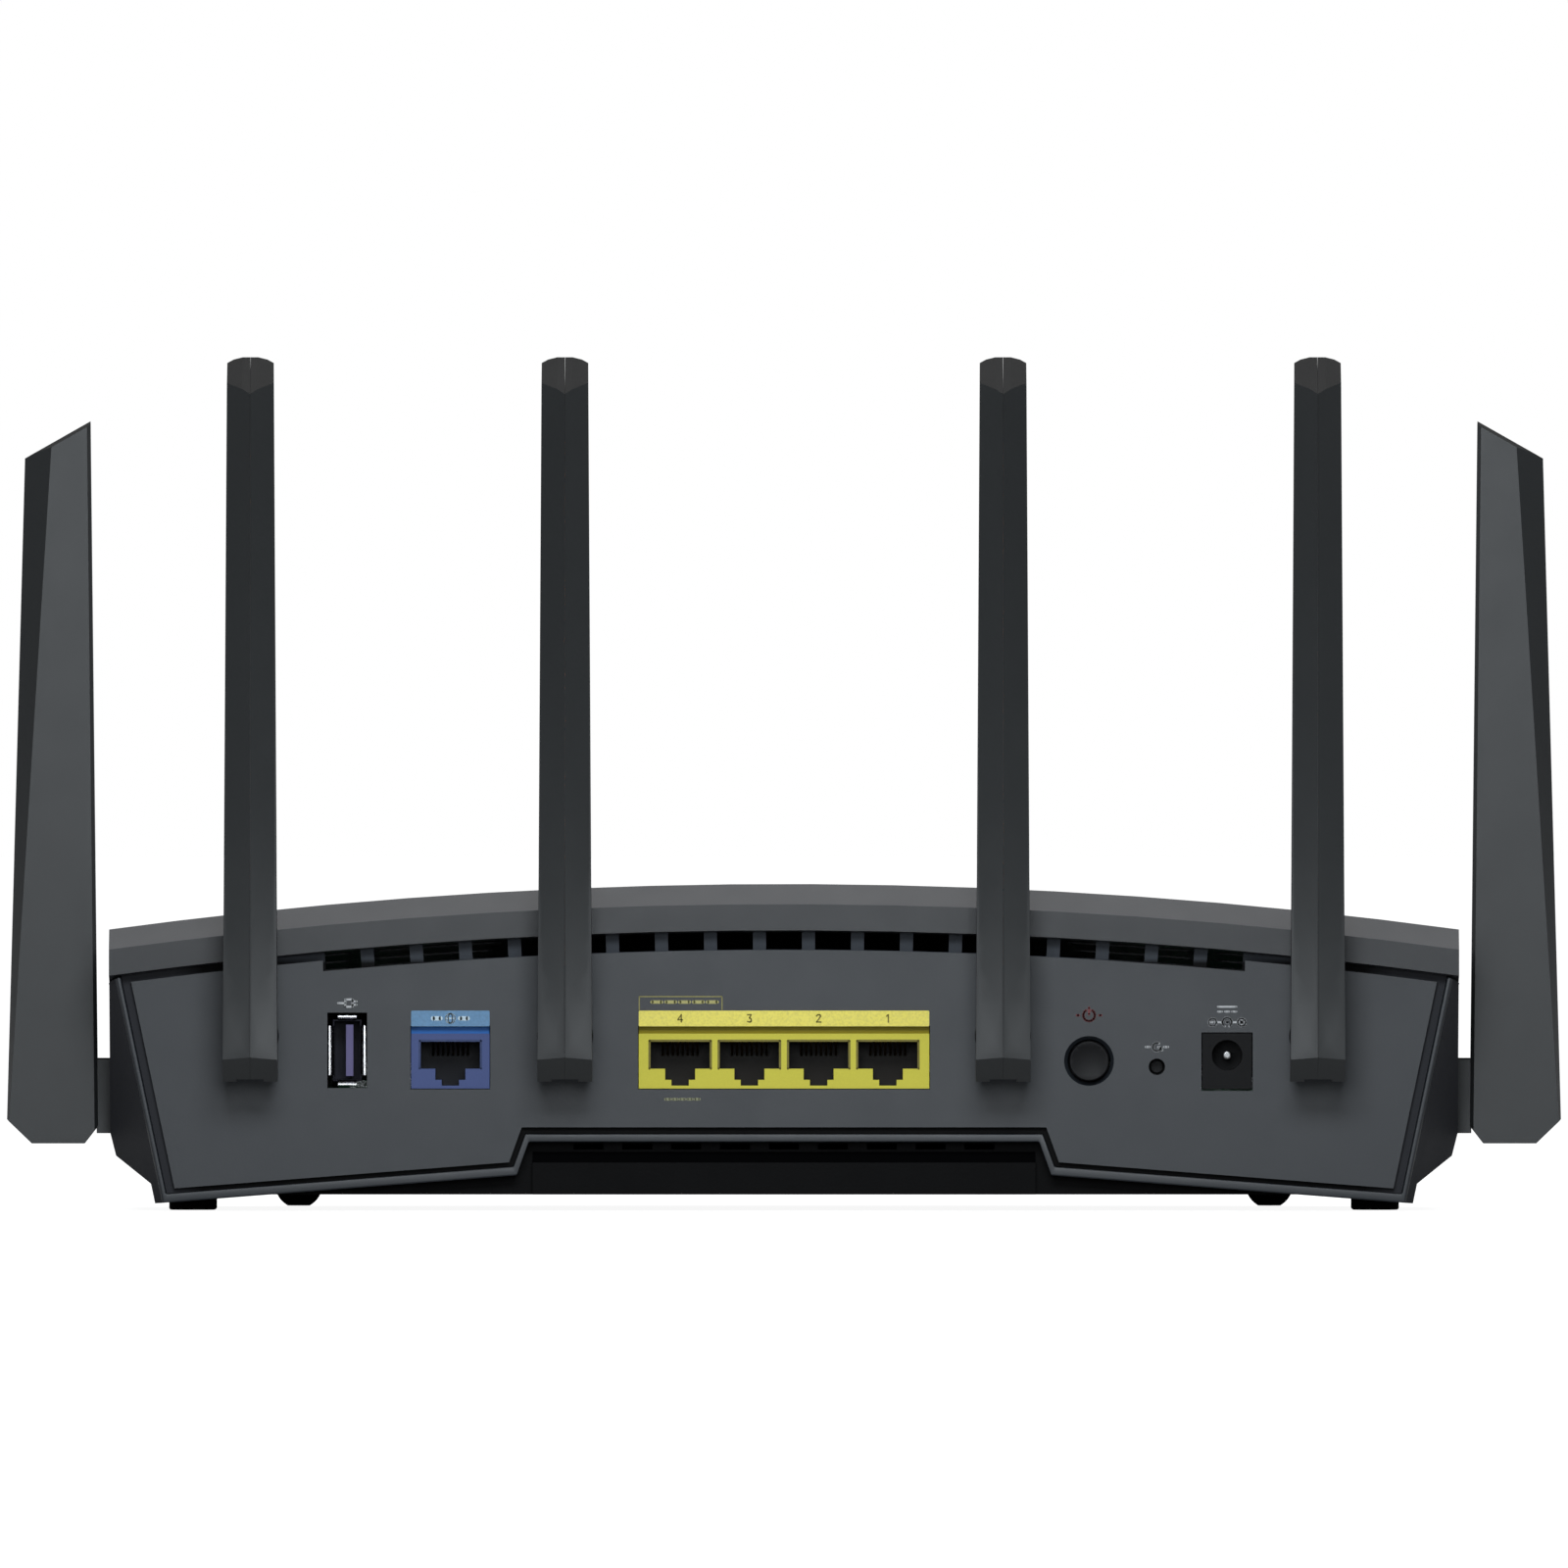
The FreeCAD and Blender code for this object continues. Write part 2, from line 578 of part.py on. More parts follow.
def heat_sink():
    base_z = BOARD_TOP_Z + CHIPS[0][2] + 1.0
    (x0, x1), y = HEAT_SINK
    fins = [box((x, x + 1.4), y, (base_z + 2.9, base_z + 13.0)) for x in [x0 + 5.66 * i for i in range(17)]]
    return box((x0, x1), y, (base_z, base_z + 3.0)).fuse(fins).removeSplitter()


def light_pipe_bar():
    """One clear moulding: seven fingers that carry light to the nose, joined by a rail."""
    w, h = LIGHT_SIZE[0] - 0.3, LIGHT_SIZE[1] - 0.3
    fingers = []
    for x in light_positions():
        front = FRONT_Y - (FRONT_Y - CORNER_END[1]) * (x / CORNER_END[0]) ** 2 - 0.15
        fingers.append(
            box((x - w / 2, x + w / 2), (BOARD_FRONT_Y + 1.5, front), (LIGHT_Z - h / 2, LIGHT_Z + h / 2))
        )
        fingers.append(
            box((x - w / 2, x + w / 2), (BOARD_FRONT_Y - 3.5, BOARD_FRONT_Y + 2), (27.2, LIGHT_Z + h / 2))
        )
    ends = light_positions()
    rail = box((ends[0], ends[-1]), (BOARD_FRONT_Y + 14, BOARD_FRONT_Y + 17), (LIGHT_Z - h / 2, LIGHT_Z + h / 2))
    return rail.fuse(fingers).removeSplitter()


# --- sockets ------------------------------------------------------------------------------------
CAVITY_HALF = 6.15
LATCH_STEPS = ((3.1, 26.9), (1.8, 25.7))
CAVITY_Z = (29.2, 34.8)
CAVITY_DEPTH = 13.0


def socket_cavity(x):
    """The space that a modular plug fills: its body, and two steps for its latch below."""
    left = [(-CAVITY_HALF, CAVITY_Z[1]), (-CAVITY_HALF, CAVITY_Z[0])]
    level = CAVITY_Z[0]
    for half, floor in LATCH_STEPS:
        left += [(-half, level), (-half, floor)]
        level = floor
    points = [(x + dx, z) for dx, z in left] + [(x - dx, z) for dx, z in reversed(left)]
    return prism_y(points, (JACK_FACE_Y - 5.0, JACK_FACE_Y + CAVITY_DEPTH))


def jack(centres, width):
    middle = sum(centres) / len(centres)
    body = box(
        (middle - width / 2, middle + width / 2), (JACK_FACE_Y, JACK_FACE_Y + JACK_DEPTH), JACK_Z
    )
    brow = box((middle - width / 2 - 1, middle + width / 2 + 1), (-90.0, JACK_FACE_Y + 1.6), (JACK_BROW_Z, 45.0))
    return body.cut([brow] + [socket_cavity(x) for x in centres])


def lan_centres():
    return [(i - 1.5) * LAN_PITCH for i in range(4)]


def jack_contacts():
    """Eight sprung wires in each socket, sloping down from the roof towards the back."""
    wires, y = [], JACK_FACE_Y + 2.2
    top = CAVITY_Z[1] - 0.05
    for x in [WAN_X] + lan_centres():
        for pin in range(8):
            at = x + (pin - 3.5) * 1.02
            wires.append(
                prism_x(
                    [(y, top), (y + 0.5, top), (y + 9.5, top - 2.5), (y + 9.5, top - 2.9)],
                    (at - 0.23, at + 0.23),
                )
            )
    return Part.makeCompound(wires)


USB_SHELL_HALF = (2.95, 6.35)
USB_SKIN = 0.3


def usb_shell():
    """A folded steel tube with four sprung lips flared out at its mouth."""
    (a, b), y0, y1 = USB_SHELL_HALF, PANEL_Y + 0.2, PANEL_Y + 14.0
    tube = box((USB_X - a, USB_X + a), (y0 + 0.5, y1), (USB_Z - b, USB_Z + b))
    hollow = box(
        (USB_X - a + USB_SKIN, USB_X + a - USB_SKIN),
        (y0 - 1, y1 - USB_SKIN),
        (USB_Z - b + USB_SKIN, USB_Z + b - USB_SKIN),
    )
    tube = tube.cut(hollow)
    lips = []
    for s in (-1, 1):
        x, z = USB_X + s * (a - USB_SKIN), USB_Z + s * (b - USB_SKIN)
        lip = [(x, y0 + 0.6), (x + s * 0.3, y0 + 0.6), (x + s * 1.1, y0 - 0.3), (x + s * 0.8, y0 - 0.3)]
        lips.append(prism([(px, py, USB_Z - 5.1) for px, py in lip], (0, 0, 10.2)))
        lip = [(y0 + 0.6, z), (y0 + 0.6, z + s * 0.3), (y0 - 0.3, z + s * 1.1), (y0 - 0.3, z + s * 0.8)]
        lips.append(prism_x(lip, (USB_X - 1.9, USB_X + 1.9)))
    return tube.fuse(lips).removeSplitter()


def usb_tongue():
    x = USB_X + 0.5
    blade = box((x - 0.75, x + 0.75), (PANEL_Y + 1.6, PANEL_Y + 11.5), (USB_Z - 5.3, USB_Z + 5.3))
    root = box((USB_X - 2.6, USB_X + 2.6), (PANEL_Y + 11.4, PANEL_Y + 13.6), (USB_Z - 6.0, USB_Z + 6.0))
    return blade.fuse(root)


def dc_jack():
    body = box((DC_X - 5.1, DC_X + 5.1), (JACK_FACE_Y, JACK_FACE_Y + 13.5), (BOARD_TOP_Z, 36.5))
    return body.cut(rod(3.15, (DC_X, -90, DC_Z), (DC_X, JACK_FACE_Y + 10.0, DC_Z)))


def dc_pin():
    pin = rod(1.0, (DC_X, JACK_FACE_Y + 0.8, DC_Z), (DC_X, JACK_FACE_Y + 10.0, DC_Z))
    tip = [e for e in pin.Edges if e.BoundBox.YLength < 0.01 and e.BoundBox.YMin < JACK_FACE_Y + 1]
    return pin.makeFillet(0.5, tip)


# --- buttons ------------------------------------------------------------------------------------
POWER_TRAVEL = 1.5
RESET_TRAVEL = 0.4
SIDE_TRAVEL = 0.6


def power_button():
    """A round cap with a square stem into the switch."""
    face_y = PANEL_Y - 2.0
    cap = rod(POWER_HOLE_R - 0.32, (POWER_X, face_y, POWER_Z), (POWER_X, PANEL_Y + 2.0, POWER_Z))
    rim = [e for e in cap.Edges if e.BoundBox.YLength < 0.01 and abs(e.BoundBox.YMin - face_y) < 0.01]
    cap = cap.makeFillet(0.5, rim)
    dish = Part.makeSphere(26.0, V(POWER_X, face_y - 25.6, POWER_Z))
    stem = box(
        (POWER_X - 1.5, POWER_X + 1.5), (PANEL_Y + 1.9, PANEL_Y + 10.0), (POWER_Z - 1.5, POWER_Z + 1.5)
    )
    return cap.cut(dish).fuse(stem)


def power_switch():
    body = box((POWER_X - 4.2, POWER_X + 4.2), (PANEL_Y + 6.0, PANEL_Y + 18.0), (BOARD_TOP_Z, 35.4))
    bore = box((POWER_X - 1.8, POWER_X + 1.8), (-90, PANEL_Y + 13.0), (POWER_Z - 1.8, POWER_Z + 1.8))
    return body.cut(bore)


def reset_plunger():
    y = PANEL_BACK_Y
    return rod(1.2, (RESET_X, y + 1.0, RESET_Z), (RESET_X, y + 4.0, RESET_Z))


def side_button_plan(y, grow, x):
    """The rounded-oblong section of a side button, `grow` larger all round."""
    half, r = 3.4, 2.1 + grow
    cutter = box(x, (y - half, y + half), (SIDE_BUTTON_Z - r, SIDE_BUTTON_Z + r))
    ends = [rod(r, (x[0], y + s * half, SIDE_BUTTON_Z), (x[1], y + s * half, SIDE_BUTTON_Z)) for s in (-1, 1)]
    return cutter.fuse(ends).removeSplitter()


def side_button(y):
    face_x = CASE_HALF_WIDTH + 0.8
    cap = side_button_plan(y, 0.0, (CASE_HALF_WIDTH - 4.0, face_x))
    rim = [e for e in cap.Edges if e.BoundBox.XLength < 0.01 and e.BoundBox.XMin > face_x - 0.01]
    cap = cap.makeFillet(0.4, rim)
    return cap.fuse(rod(1.5, (CASE_HALF_WIDTH - 6.0, y, SIDE_BUTTON_Z), (CASE_HALF_WIDTH - 3.9, y, SIDE_BUTTON_Z)))


def tact_switches():
    """The reset switch on the main board, and two side switches on their own small board."""
    y = PANEL_BACK_Y + 2.6
    body = box((RESET_X - 3, RESET_X + 3), (y, y + 5.0), (BOARD_TOP_Z, RESET_Z + 3))
    reset = body.cut(rod(1.5, (RESET_X, y - 1, RESET_Z), (RESET_X, y + 2.2, RESET_Z)))
    x = CASE_HALF_WIDTH - 6.6 - SIDE_TRAVEL
    switches = [
        box((x - 3.5, x), (c - 3, c + 3), (SIDE_BUTTON_Z - 3, SIDE_BUTTON_Z + 3)) for c in SIDE_BUTTON_Y
    ]
    carrier = box((x - 5.1, x - 3.5), (SIDE_BUTTON_Y[0] - 7, SIDE_BUTTON_Y[1] + 7), (7.4, 31.0))
    return Part.makeCompound([reset, carrier.fuse(switches).removeSplitter()])


# --- antennas -----------------------------------------------------------------------------------
# An antenna is modelled about its hinge pin: local +X points away from the case, Y is across the
# paddle's thickness and +Z is up. The functions below take u from the inner edge and z from the
# lower end, and move the result to the pin.
OUTER_TOP = (15.2, 141.8)
INNER_TOP = (1.6, PADDLE_LENGTH)
LOWER_CORNER = (PADDLE_WIDTH, 5.0)
INNER_CORNER = (0.0, 3.6)
PADDLE_OUTLINE = ((2.8, 0.0), (13.7, 0.0), LOWER_CORNER, OUTER_TOP, INNER_TOP, INNER_CORNER)
HALF_THICK_LOW = 5.65
HALF_THICK_TOP = 4.8
RIDGE_TOP = 5.4               # how far the outer edge's two bevels reach over the broad faces
RIDGE_LOW = 0.5
TOP_BREAK = (3.2, 0.7)        # the chamfer along the slanted top: across the paddle and down
SEAM = 0.02


def along(z, at_low, at_top):
    """A straight run between a (value, height) pair low on the paddle and one at its top."""
    (a, za), (b, zb) = at_low, at_top
    return a + (b - a) * (z - za) / (zb - za)


def half_thickness(z):
    return along(z, (HALF_THICK_LOW, 0.0), (HALF_THICK_TOP, PADDLE_LENGTH))


def paddle_section(z):
    """The paddle's section at height z: the outer edge is a ridge between two bevels."""
    inner = along(z, INNER_CORNER, INNER_TOP)
    outer = along(z, LOWER_CORNER, OUTER_TOP)
    shoulder = outer - along(z, (RIDGE_LOW, LOWER_CORNER[1]), (RIDGE_TOP, OUTER_TOP[1]))
    h = half_thickness(z)
    near = [(inner, 1.3 - h), (inner + 0.7, -h), (shoulder, -h), (outer, 0.0)]
    far = [(shoulder, h), (inner + 0.7, h), (inner, h - 1.3)]
    corners = [V(u, w, z) for u, w in near + far]
    return Part.makePolygon(corners + corners[:1])


def top_chamfer(side):
    """The plane that breaks one broad face's edge along the slanted top."""
    slope = V(OUTER_TOP[0] - INNER_TOP[0], 0, OUTER_TOP[1] - INNER_TOP[1]).normalize()
    w = half_thickness(INNER_TOP[1])
    across, down = TOP_BREAK
    a = (INNER_TOP[0], side * (w - across), INNER_TOP[1])
    b = (OUTER_TOP[0], side * (w - across), OUTER_TOP[1])
    c = (INNER_TOP[0] + slope.z * down, side * w, INNER_TOP[1] - slope.x * down)
    return half_space_through(a, b, c, (a[0], a[1] + side * 20.0, a[2]))


def paddle():
    body = Part.makeLoft([paddle_section(-2.0), paddle_section(PADDLE_LENGTH + 2.0)], True, True)
    outline = prism([(u, -8.0, z) for u, z in PADDLE_OUTLINE], (0, 16.0, 0))
    return body.common(outline).cut([top_chamfer(s) for s in (-1, 1)])


def paddle_hollow(side):
    """The pocket for the radiator in one half, leaving two ribs that hold it."""
    floor, roof = (19.6, 3.4), (143.0, 2.3)
    face = [(2.2, floor[0]), (15.2, floor[0]), (11.4, 138.5), (3.4, roof[0])]
    pocket = prism([(u, -5.0, z) for u, z in face], (0, 10.0, 0))
    taper = [(0.0, 0.0, floor[0]), (0.0, side * floor[1], floor[0]), (0.0, side * roof[1], roof[0]), (0.0, 0.0, roof[0])]
    pocket = pocket.common(prism(taper, (20.0, 0, 0)))
    ribs = [box((4.5, 10.0), sorted((side * 0.45, side * 6.0)), (z - 0.7, z + 0.7)) for z in (44.0, 112.0)]
    return pocket.cut(ribs)


def antenna_half(side, neck_top):
    """One of the two moulded halves of a paddle, split down its middle plane."""
    half = paddle().common(box((-5, 30), sorted((side * SEAM, side * 9.0)), (-5, 160)))
    slot_top = PIN_ABOVE_END + neck_top + 0.6
    slot = box((-5.0, PIN_FROM_INNER_EDGE + TONGUE_R + 0.4), (-2.8, 2.8), (-5.0, slot_top))
    at = (PIN_FROM_INNER_EDGE, PIN_ABOVE_END)
    reach = side * (PIN_HALF_LENGTH + 0.1)
    pin_hole = rod(PIN_R + 0.08, (at[0], 0, at[1]), (at[0], reach, at[1]))
    half = half.cut([paddle_hollow(side), slot, pin_hole])
    return half.translated(V(-PIN_FROM_INNER_EDGE, 0, -PIN_ABOVE_END))


def antenna_radiator():
    strip = box((5.0, 9.5), (-0.4, 0.4), (24.0, 132.0)).fuse(box((4.0, 11.0), (-0.4, 0.4), (60.0, 92.0)))
    return strip.translated(V(-PIN_FROM_INNER_EDGE, 0, -PIN_ABOVE_END))


def antenna_swivel(neck_top):
    """The tongue that the paddle hinges on, its round flange and the spigot that turns in the case."""
    t = TONGUE_HALF
    neck = box((-FLANGE_FACE - 0.1, 0), (-t, t), (-TONGUE_R, NECK_TOP))
    neck = neck.common(rod(FLANGE_R, (-20, 0, 0), (0, 0, 0)))
    tongue = rod(TONGUE_R, (0, -t, 0), (0, t, 0)).fuse(neck)
    if neck_top > NECK_TOP:
        flare = rod(neck_top, (0.3 - SIDE_SEAT_FACE, 0, 0), (-9.7, 0, 0))
        tongue = tongue.fuse(flare.common(box((-20, 0), (-t, t), (FLARE_BOTTOM, 9.0))))
    collar = Part.makeCone(SPIGOT_R + 0.8, SPIGOT_R, 1.2, V(-BEARING_END - 0.3, 0, 0), V(-1, 0, 0))
    turned = [
        rod(FLANGE_R, (-FLANGE_BACK, 0, 0), (-FLANGE_FACE, 0, 0)),
        rod(SPIGOT_R, (-BEARING_END - 0.4, 0, 0), (-FLANGE_BACK, 0, 0)),
        collar,
    ]
    body = tongue.fuse(turned)
    lead_bore = rod(1.6, (-25, 0, 0), (-14.6, 0, 0))
    return body.cut([lead_bore, rod(PIN_R + 0.02, (0, -6, 0), (0, 6, 0))]).removeSplitter()


def hinge_pin():
    return rod(PIN_R, (0, -PIN_HALF_LENGTH, 0), (0, PIN_HALF_LENGTH, 0))


def antenna_pieces(neck_top):
    return {
        "shell_a": antenna_half(1, neck_top),
        "shell_b": antenna_half(-1, neck_top),
        "radiator": antenna_radiator(),
        "swivel": antenna_swivel(neck_top),
        "hinge_pin": hinge_pin(),
    }


def antenna_places():
    """Each antenna's number, hinge pin position and the turn that points its +X away from the case."""
    places = [(1, (-SIDE_PIN_X, SIDE_ANTENNA_Y, SIDE_PIN_Z), 180.0)]
    places += [(2 + i, (x, REAR_PIN_Y, REAR_PIN_Z), -90.0) for i, x in enumerate(REAR_ANTENNA_X)]
    places.append((6, (SIDE_PIN_X, SIDE_ANTENNA_Y, SIDE_PIN_Z), 0.0))
    return places


def placed(shape, position, turn):
    shape = shape.copy()
    shape.Placement = FreeCAD.Placement(V(*position), FreeCAD.Rotation(V(0, 0, 1), turn)).multiply(
        shape.Placement
    )
    return shape


def lead(points, radius):
    """A round wire along straight runs joined by tangent arcs as large as the runs allow."""
    points = [V(*p) for p in points]
    edges, start = [], points[0]
    for before, corner, after in zip(points, points[1:], points[2:]):
        a, b = (before - corner), (after - corner)
        bend = 0.45 * min(a.Length, b.Length)
        a.normalize()
        b.normalize()
        turn = math.pi - a.getAngle(b)
        arc_r = bend / math.tan(turn / 2)
        middle = (a + b).normalize()
        centre = corner + middle * (arc_r / math.cos(turn / 2))
        first, last = corner + a * bend, corner + b * bend
        edges.append(Part.LineSegment(start, first).toShape())
        edges.append(Part.Arc(first, centre - middle * arc_r, last).toShape())
        start = last
    edges.append(Part.LineSegment(start, points[-1]).toShape())
    path = Part.Wire(edges)
    profile = Part.Wire(Part.makeCircle(radius, points[0], points[1] - points[0]))
    return path.makePipeShell([profile], True, False)


def antenna_leads():
    """A thin coaxial lead from each swivel's bore to its connector on the board."""
    leads = []
    for number, (x, y, z), turn in antenna_places():
        if turn == -90.0:
            inside = y + BEARING_END
            route = [(x, inside, z), (x, inside + 7, z), (x * 0.92, inside + 14, z - 4), (x * 0.82, inside + 23, 27.6)]
            route.append((x * 0.76, inside + 31, 26.9))
        else:
            s = -1 if number == 1 else 1
            inside = x - s * BEARING_END
            route = [(inside, y, z), (inside - s * 8, y, z), (inside - s * 17, y + 2, z + 6)]
            route += [(inside - s * 30, y + 5, 28.6), (inside - s * 38, y + 6, 27.2)]
        end = route[-1]
        plug = rod(1.5, (end[0], end[1], BOARD_TOP_Z), (end[0], end[1], BOARD_TOP_Z + 2.6))
        leads.append(lead(route, 0.6).fuse(plug))
    return Part.makeCompound(leads)


# --- every node ---------------------------------------------------------------------------------
def build():
    nodes = {
        "top_cover": top_cover(),
        "bottom_cover": bottom_cover(),
        "rear_frame": rear_frame(),
        "rear_panel": rear_panel(),
        "panel_backing": panel_backing(),
        "rubber_feet": rubber_feet(),
        "case_screws": case_screws(),
        "board_screws": board_screws(),
        "main_board": main_board(),
        "board_chips": board_chips(),
        "rf_shields": rf_shields(),
        "thermal_pad": thermal_pad(),
        "heat_sink": heat_sink(),
        "light_pipe_bar": light_pipe_bar(),
        "wan_jack": jack([WAN_X], WAN_WIDTH),
        "lan_jack": jack(lan_centres(), LAN_WIDTH),
        "jack_contacts": jack_contacts(),
        "usb_shell": usb_shell(),
        "usb_tongue": usb_tongue(),
        "dc_jack": dc_jack(),
        "dc_pin": dc_pin(),
        "power_button": power_button(),
        "power_switch": power_switch(),
        "reset_plunger": reset_plunger(),
        "tact_switches": tact_switches(),
        "wps_button": side_button(SIDE_BUTTON_Y[0]),
        "wifi_button": side_button(SIDE_BUTTON_Y[1]),
        "antenna_leads": antenna_leads(),
    }
    rear, side = antenna_pieces(NECK_TOP), antenna_pieces(FLARE_R)
    for number, position, turn in antenna_places():
        for name, shape in (side if number in (1, 6) else rear).items():
            nodes[f"antenna_{number}_{name}"] = placed(shape, position, turn)
    return nodes


def main():
    os.makedirs(OUT, exist_ok=True)
    for name, shape in build().items():
        bad = [s for s in shape.Solids if not s.isValid() or s.Volume <= 0]
        if bad or not shape.Solids:
            raise SystemExit(f"{name} has a bad solid")
        print(f"{name}: {len(shape.Solids)} solid(s), {shape.Volume / 1000:.2f} cm3")
        shape.exportStep(os.path.join(OUT, f"{name}.step"))


main()
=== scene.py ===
import json
import math

import bmesh
import bpy
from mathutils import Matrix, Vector


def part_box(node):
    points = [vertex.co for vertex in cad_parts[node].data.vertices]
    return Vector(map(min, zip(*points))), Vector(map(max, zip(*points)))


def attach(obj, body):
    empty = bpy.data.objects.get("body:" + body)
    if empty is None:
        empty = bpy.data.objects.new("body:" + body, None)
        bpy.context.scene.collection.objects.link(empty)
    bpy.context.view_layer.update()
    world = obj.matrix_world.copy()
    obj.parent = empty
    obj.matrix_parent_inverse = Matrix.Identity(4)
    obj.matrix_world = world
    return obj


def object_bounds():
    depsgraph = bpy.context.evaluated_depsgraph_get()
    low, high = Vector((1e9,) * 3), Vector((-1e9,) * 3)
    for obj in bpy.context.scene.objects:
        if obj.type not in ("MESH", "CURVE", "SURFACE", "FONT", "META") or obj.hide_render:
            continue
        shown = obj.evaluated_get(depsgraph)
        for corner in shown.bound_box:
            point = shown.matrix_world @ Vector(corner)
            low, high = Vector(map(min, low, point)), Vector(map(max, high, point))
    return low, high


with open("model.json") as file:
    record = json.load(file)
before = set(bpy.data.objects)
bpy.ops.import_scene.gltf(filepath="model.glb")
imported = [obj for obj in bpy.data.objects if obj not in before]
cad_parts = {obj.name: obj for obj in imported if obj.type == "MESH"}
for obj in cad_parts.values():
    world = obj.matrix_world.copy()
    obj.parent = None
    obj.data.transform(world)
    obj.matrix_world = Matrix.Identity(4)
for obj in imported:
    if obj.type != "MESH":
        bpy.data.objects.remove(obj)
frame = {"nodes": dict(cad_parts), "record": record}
cad_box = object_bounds()
nodes = frame["nodes"]
MM = 0.001


# --- node-material helpers ----------------------------------------------------------------------
def srgb(r, g, b):
    """A 0-255 screen colour as the linear RGBA that a shader wants."""
    out = []
    for v in (r, g, b):
        v /= 255.0
        out.append(v / 12.92 if v <= 0.04045 else ((v + 0.055) / 1.055) ** 2.4)
    return (*out, 1.0)


def shade(colour, k):
    """The colour, k times as bright."""
    return tuple(c * k for c in colour[:3]) + (1.0,)


class Mat:
    """A Principled material and short ways to wire procedural detail into it."""

    def __init__(self, name):
        self.mat = bpy.data.materials.new(name)
        self.mat.use_nodes = True
        self.tree = self.mat.node_tree
        self.tree.nodes.clear()
        out = self.add("ShaderNodeOutputMaterial")
        self.bsdf = self.add("ShaderNodeBsdfPrincipled")
        self.link(self.bsdf.outputs["BSDF"], out.inputs["Surface"])
        place = self.add("ShaderNodeTexCoord")
        self.coord, self.normal = place.outputs["Object"], place.outputs["Normal"]

    def add(self, kind, **props):
        n = self.tree.nodes.new(kind)
        for k, v in props.items():
            setattr(n, k, v)
        return n

    def link(self, a, b):
        self.tree.links.new(a, b)

    def fill(self, sock, value):
        """Set a socket to a number or colour, or link another socket into it."""
        if isinstance(value, bpy.types.NodeSocket):
            self.link(value, sock)
        else:
            sock.default_value = value

    def noise(self, size_mm, detail=3.0, rough=0.55, stretch=(1, 1, 1)):
        """Noise whose features are about size_mm across, longer along the stretched axes."""
        m = self.add("ShaderNodeMapping")
        self.link(self.coord, m.inputs["Vector"])
        m.inputs["Scale"].default_value = [1.0 / (size_mm * MM * s) for s in stretch]
        n = self.add("ShaderNodeTexNoise")
        n.inputs["Scale"].default_value = 1.0
        n.inputs["Detail"].default_value = detail
        n.inputs["Roughness"].default_value = rough
        self.link(m.outputs["Vector"], n.inputs["Vector"])
        return n.outputs["Fac"]

    def ramp(self, fac, start, end):
        """A colour that changes from `start` to `end`, each a (position, colour)."""
        r = self.add("ShaderNodeValToRGB")
        for stop, (position, colour) in zip(r.color_ramp.elements, (start, end)):
            stop.position = position
            stop.color = colour
        self.link(fac, r.inputs["Fac"])
        return r.outputs["Color"]

    def span(self, fac, low, high, at=(0.3, 0.7)):
        """A number that goes from `low` to `high` while `fac` crosses the range `at`."""
        r = self.add("ShaderNodeMapRange")
        r.inputs["From Min"].default_value, r.inputs["From Max"].default_value = at
        r.inputs["To Min"].default_value, r.inputs["To Max"].default_value = low, high
        self.link(fac, r.inputs["Value"])
        return r.outputs["Result"]

    def component(self, vector, axis):
        split = self.add("ShaderNodeSeparateXYZ")
        self.link(vector, split.inputs[0])
        return split.outputs[axis]

    def facing_up(self):
        """Where the painted top shading goes: 1 on faces that look upwards at rest, 0 on upright
        ones.
        """
        return self.span(self.component(self.normal, "Z"), 0.0, 1.0, (0.15, 0.45))

    def math(self, op, a, b):
        m = self.add("ShaderNodeMath", operation=op)
        self.fill(m.inputs[0], a)
        self.fill(m.inputs[1], b)
        return m.outputs[0]

    def mix(self, fac, a, b):
        """Colour `a` where fac is 0 and colour `b` where it is 1."""
        m = self.add("ShaderNodeMix", data_type="RGBA")
        for index, value in ((0, fac), (6, a), (7, b)):
            self.fill(m.inputs[index], value)
        return m.outputs[2]

    def zoned(self, colour, zones):
        """The colour, changed place by place.

        `zones` lists (axis, start, end, beyond): between those two places in mm, the colour
        turns into `beyond`.
        """
        for axis, start, end, beyond in zones:
            amount = self.span(self.component(self.coord, axis), 0.0, 1.0, (start * MM, end * MM))
            colour = self.mix(amount, colour, beyond)
        return colour

    def bump(self, height, depth_mm, strength):
        b = self.add("ShaderNodeBump")
        b.inputs["Strength"].default_value = strength
        b.inputs["Distance"].default_value = depth_mm * MM
        self.link(height, b.inputs["Height"])
        self.link(b.outputs["Normal"], self.bsdf.inputs["Normal"])

    def set(self, **values):
        """Fill the Principled node's sockets, with _ for a space in a socket's name."""
        for k, v in values.items():
            self.fill(self.bsdf.inputs[k.replace("_", " ")], v)


FLOW_MM = 38.0        # size of the flow marks in moulded plastic
HAZE_MM = 9.0         # size of its patches of uneven gloss
SPECK_PART = 0.6      # size of its paler specks, as a part of the grain's
SCRATCH_MM = 0.25     # width of the grain lines in metal
TARNISH_MM = 6.0      # size of its darker clouds


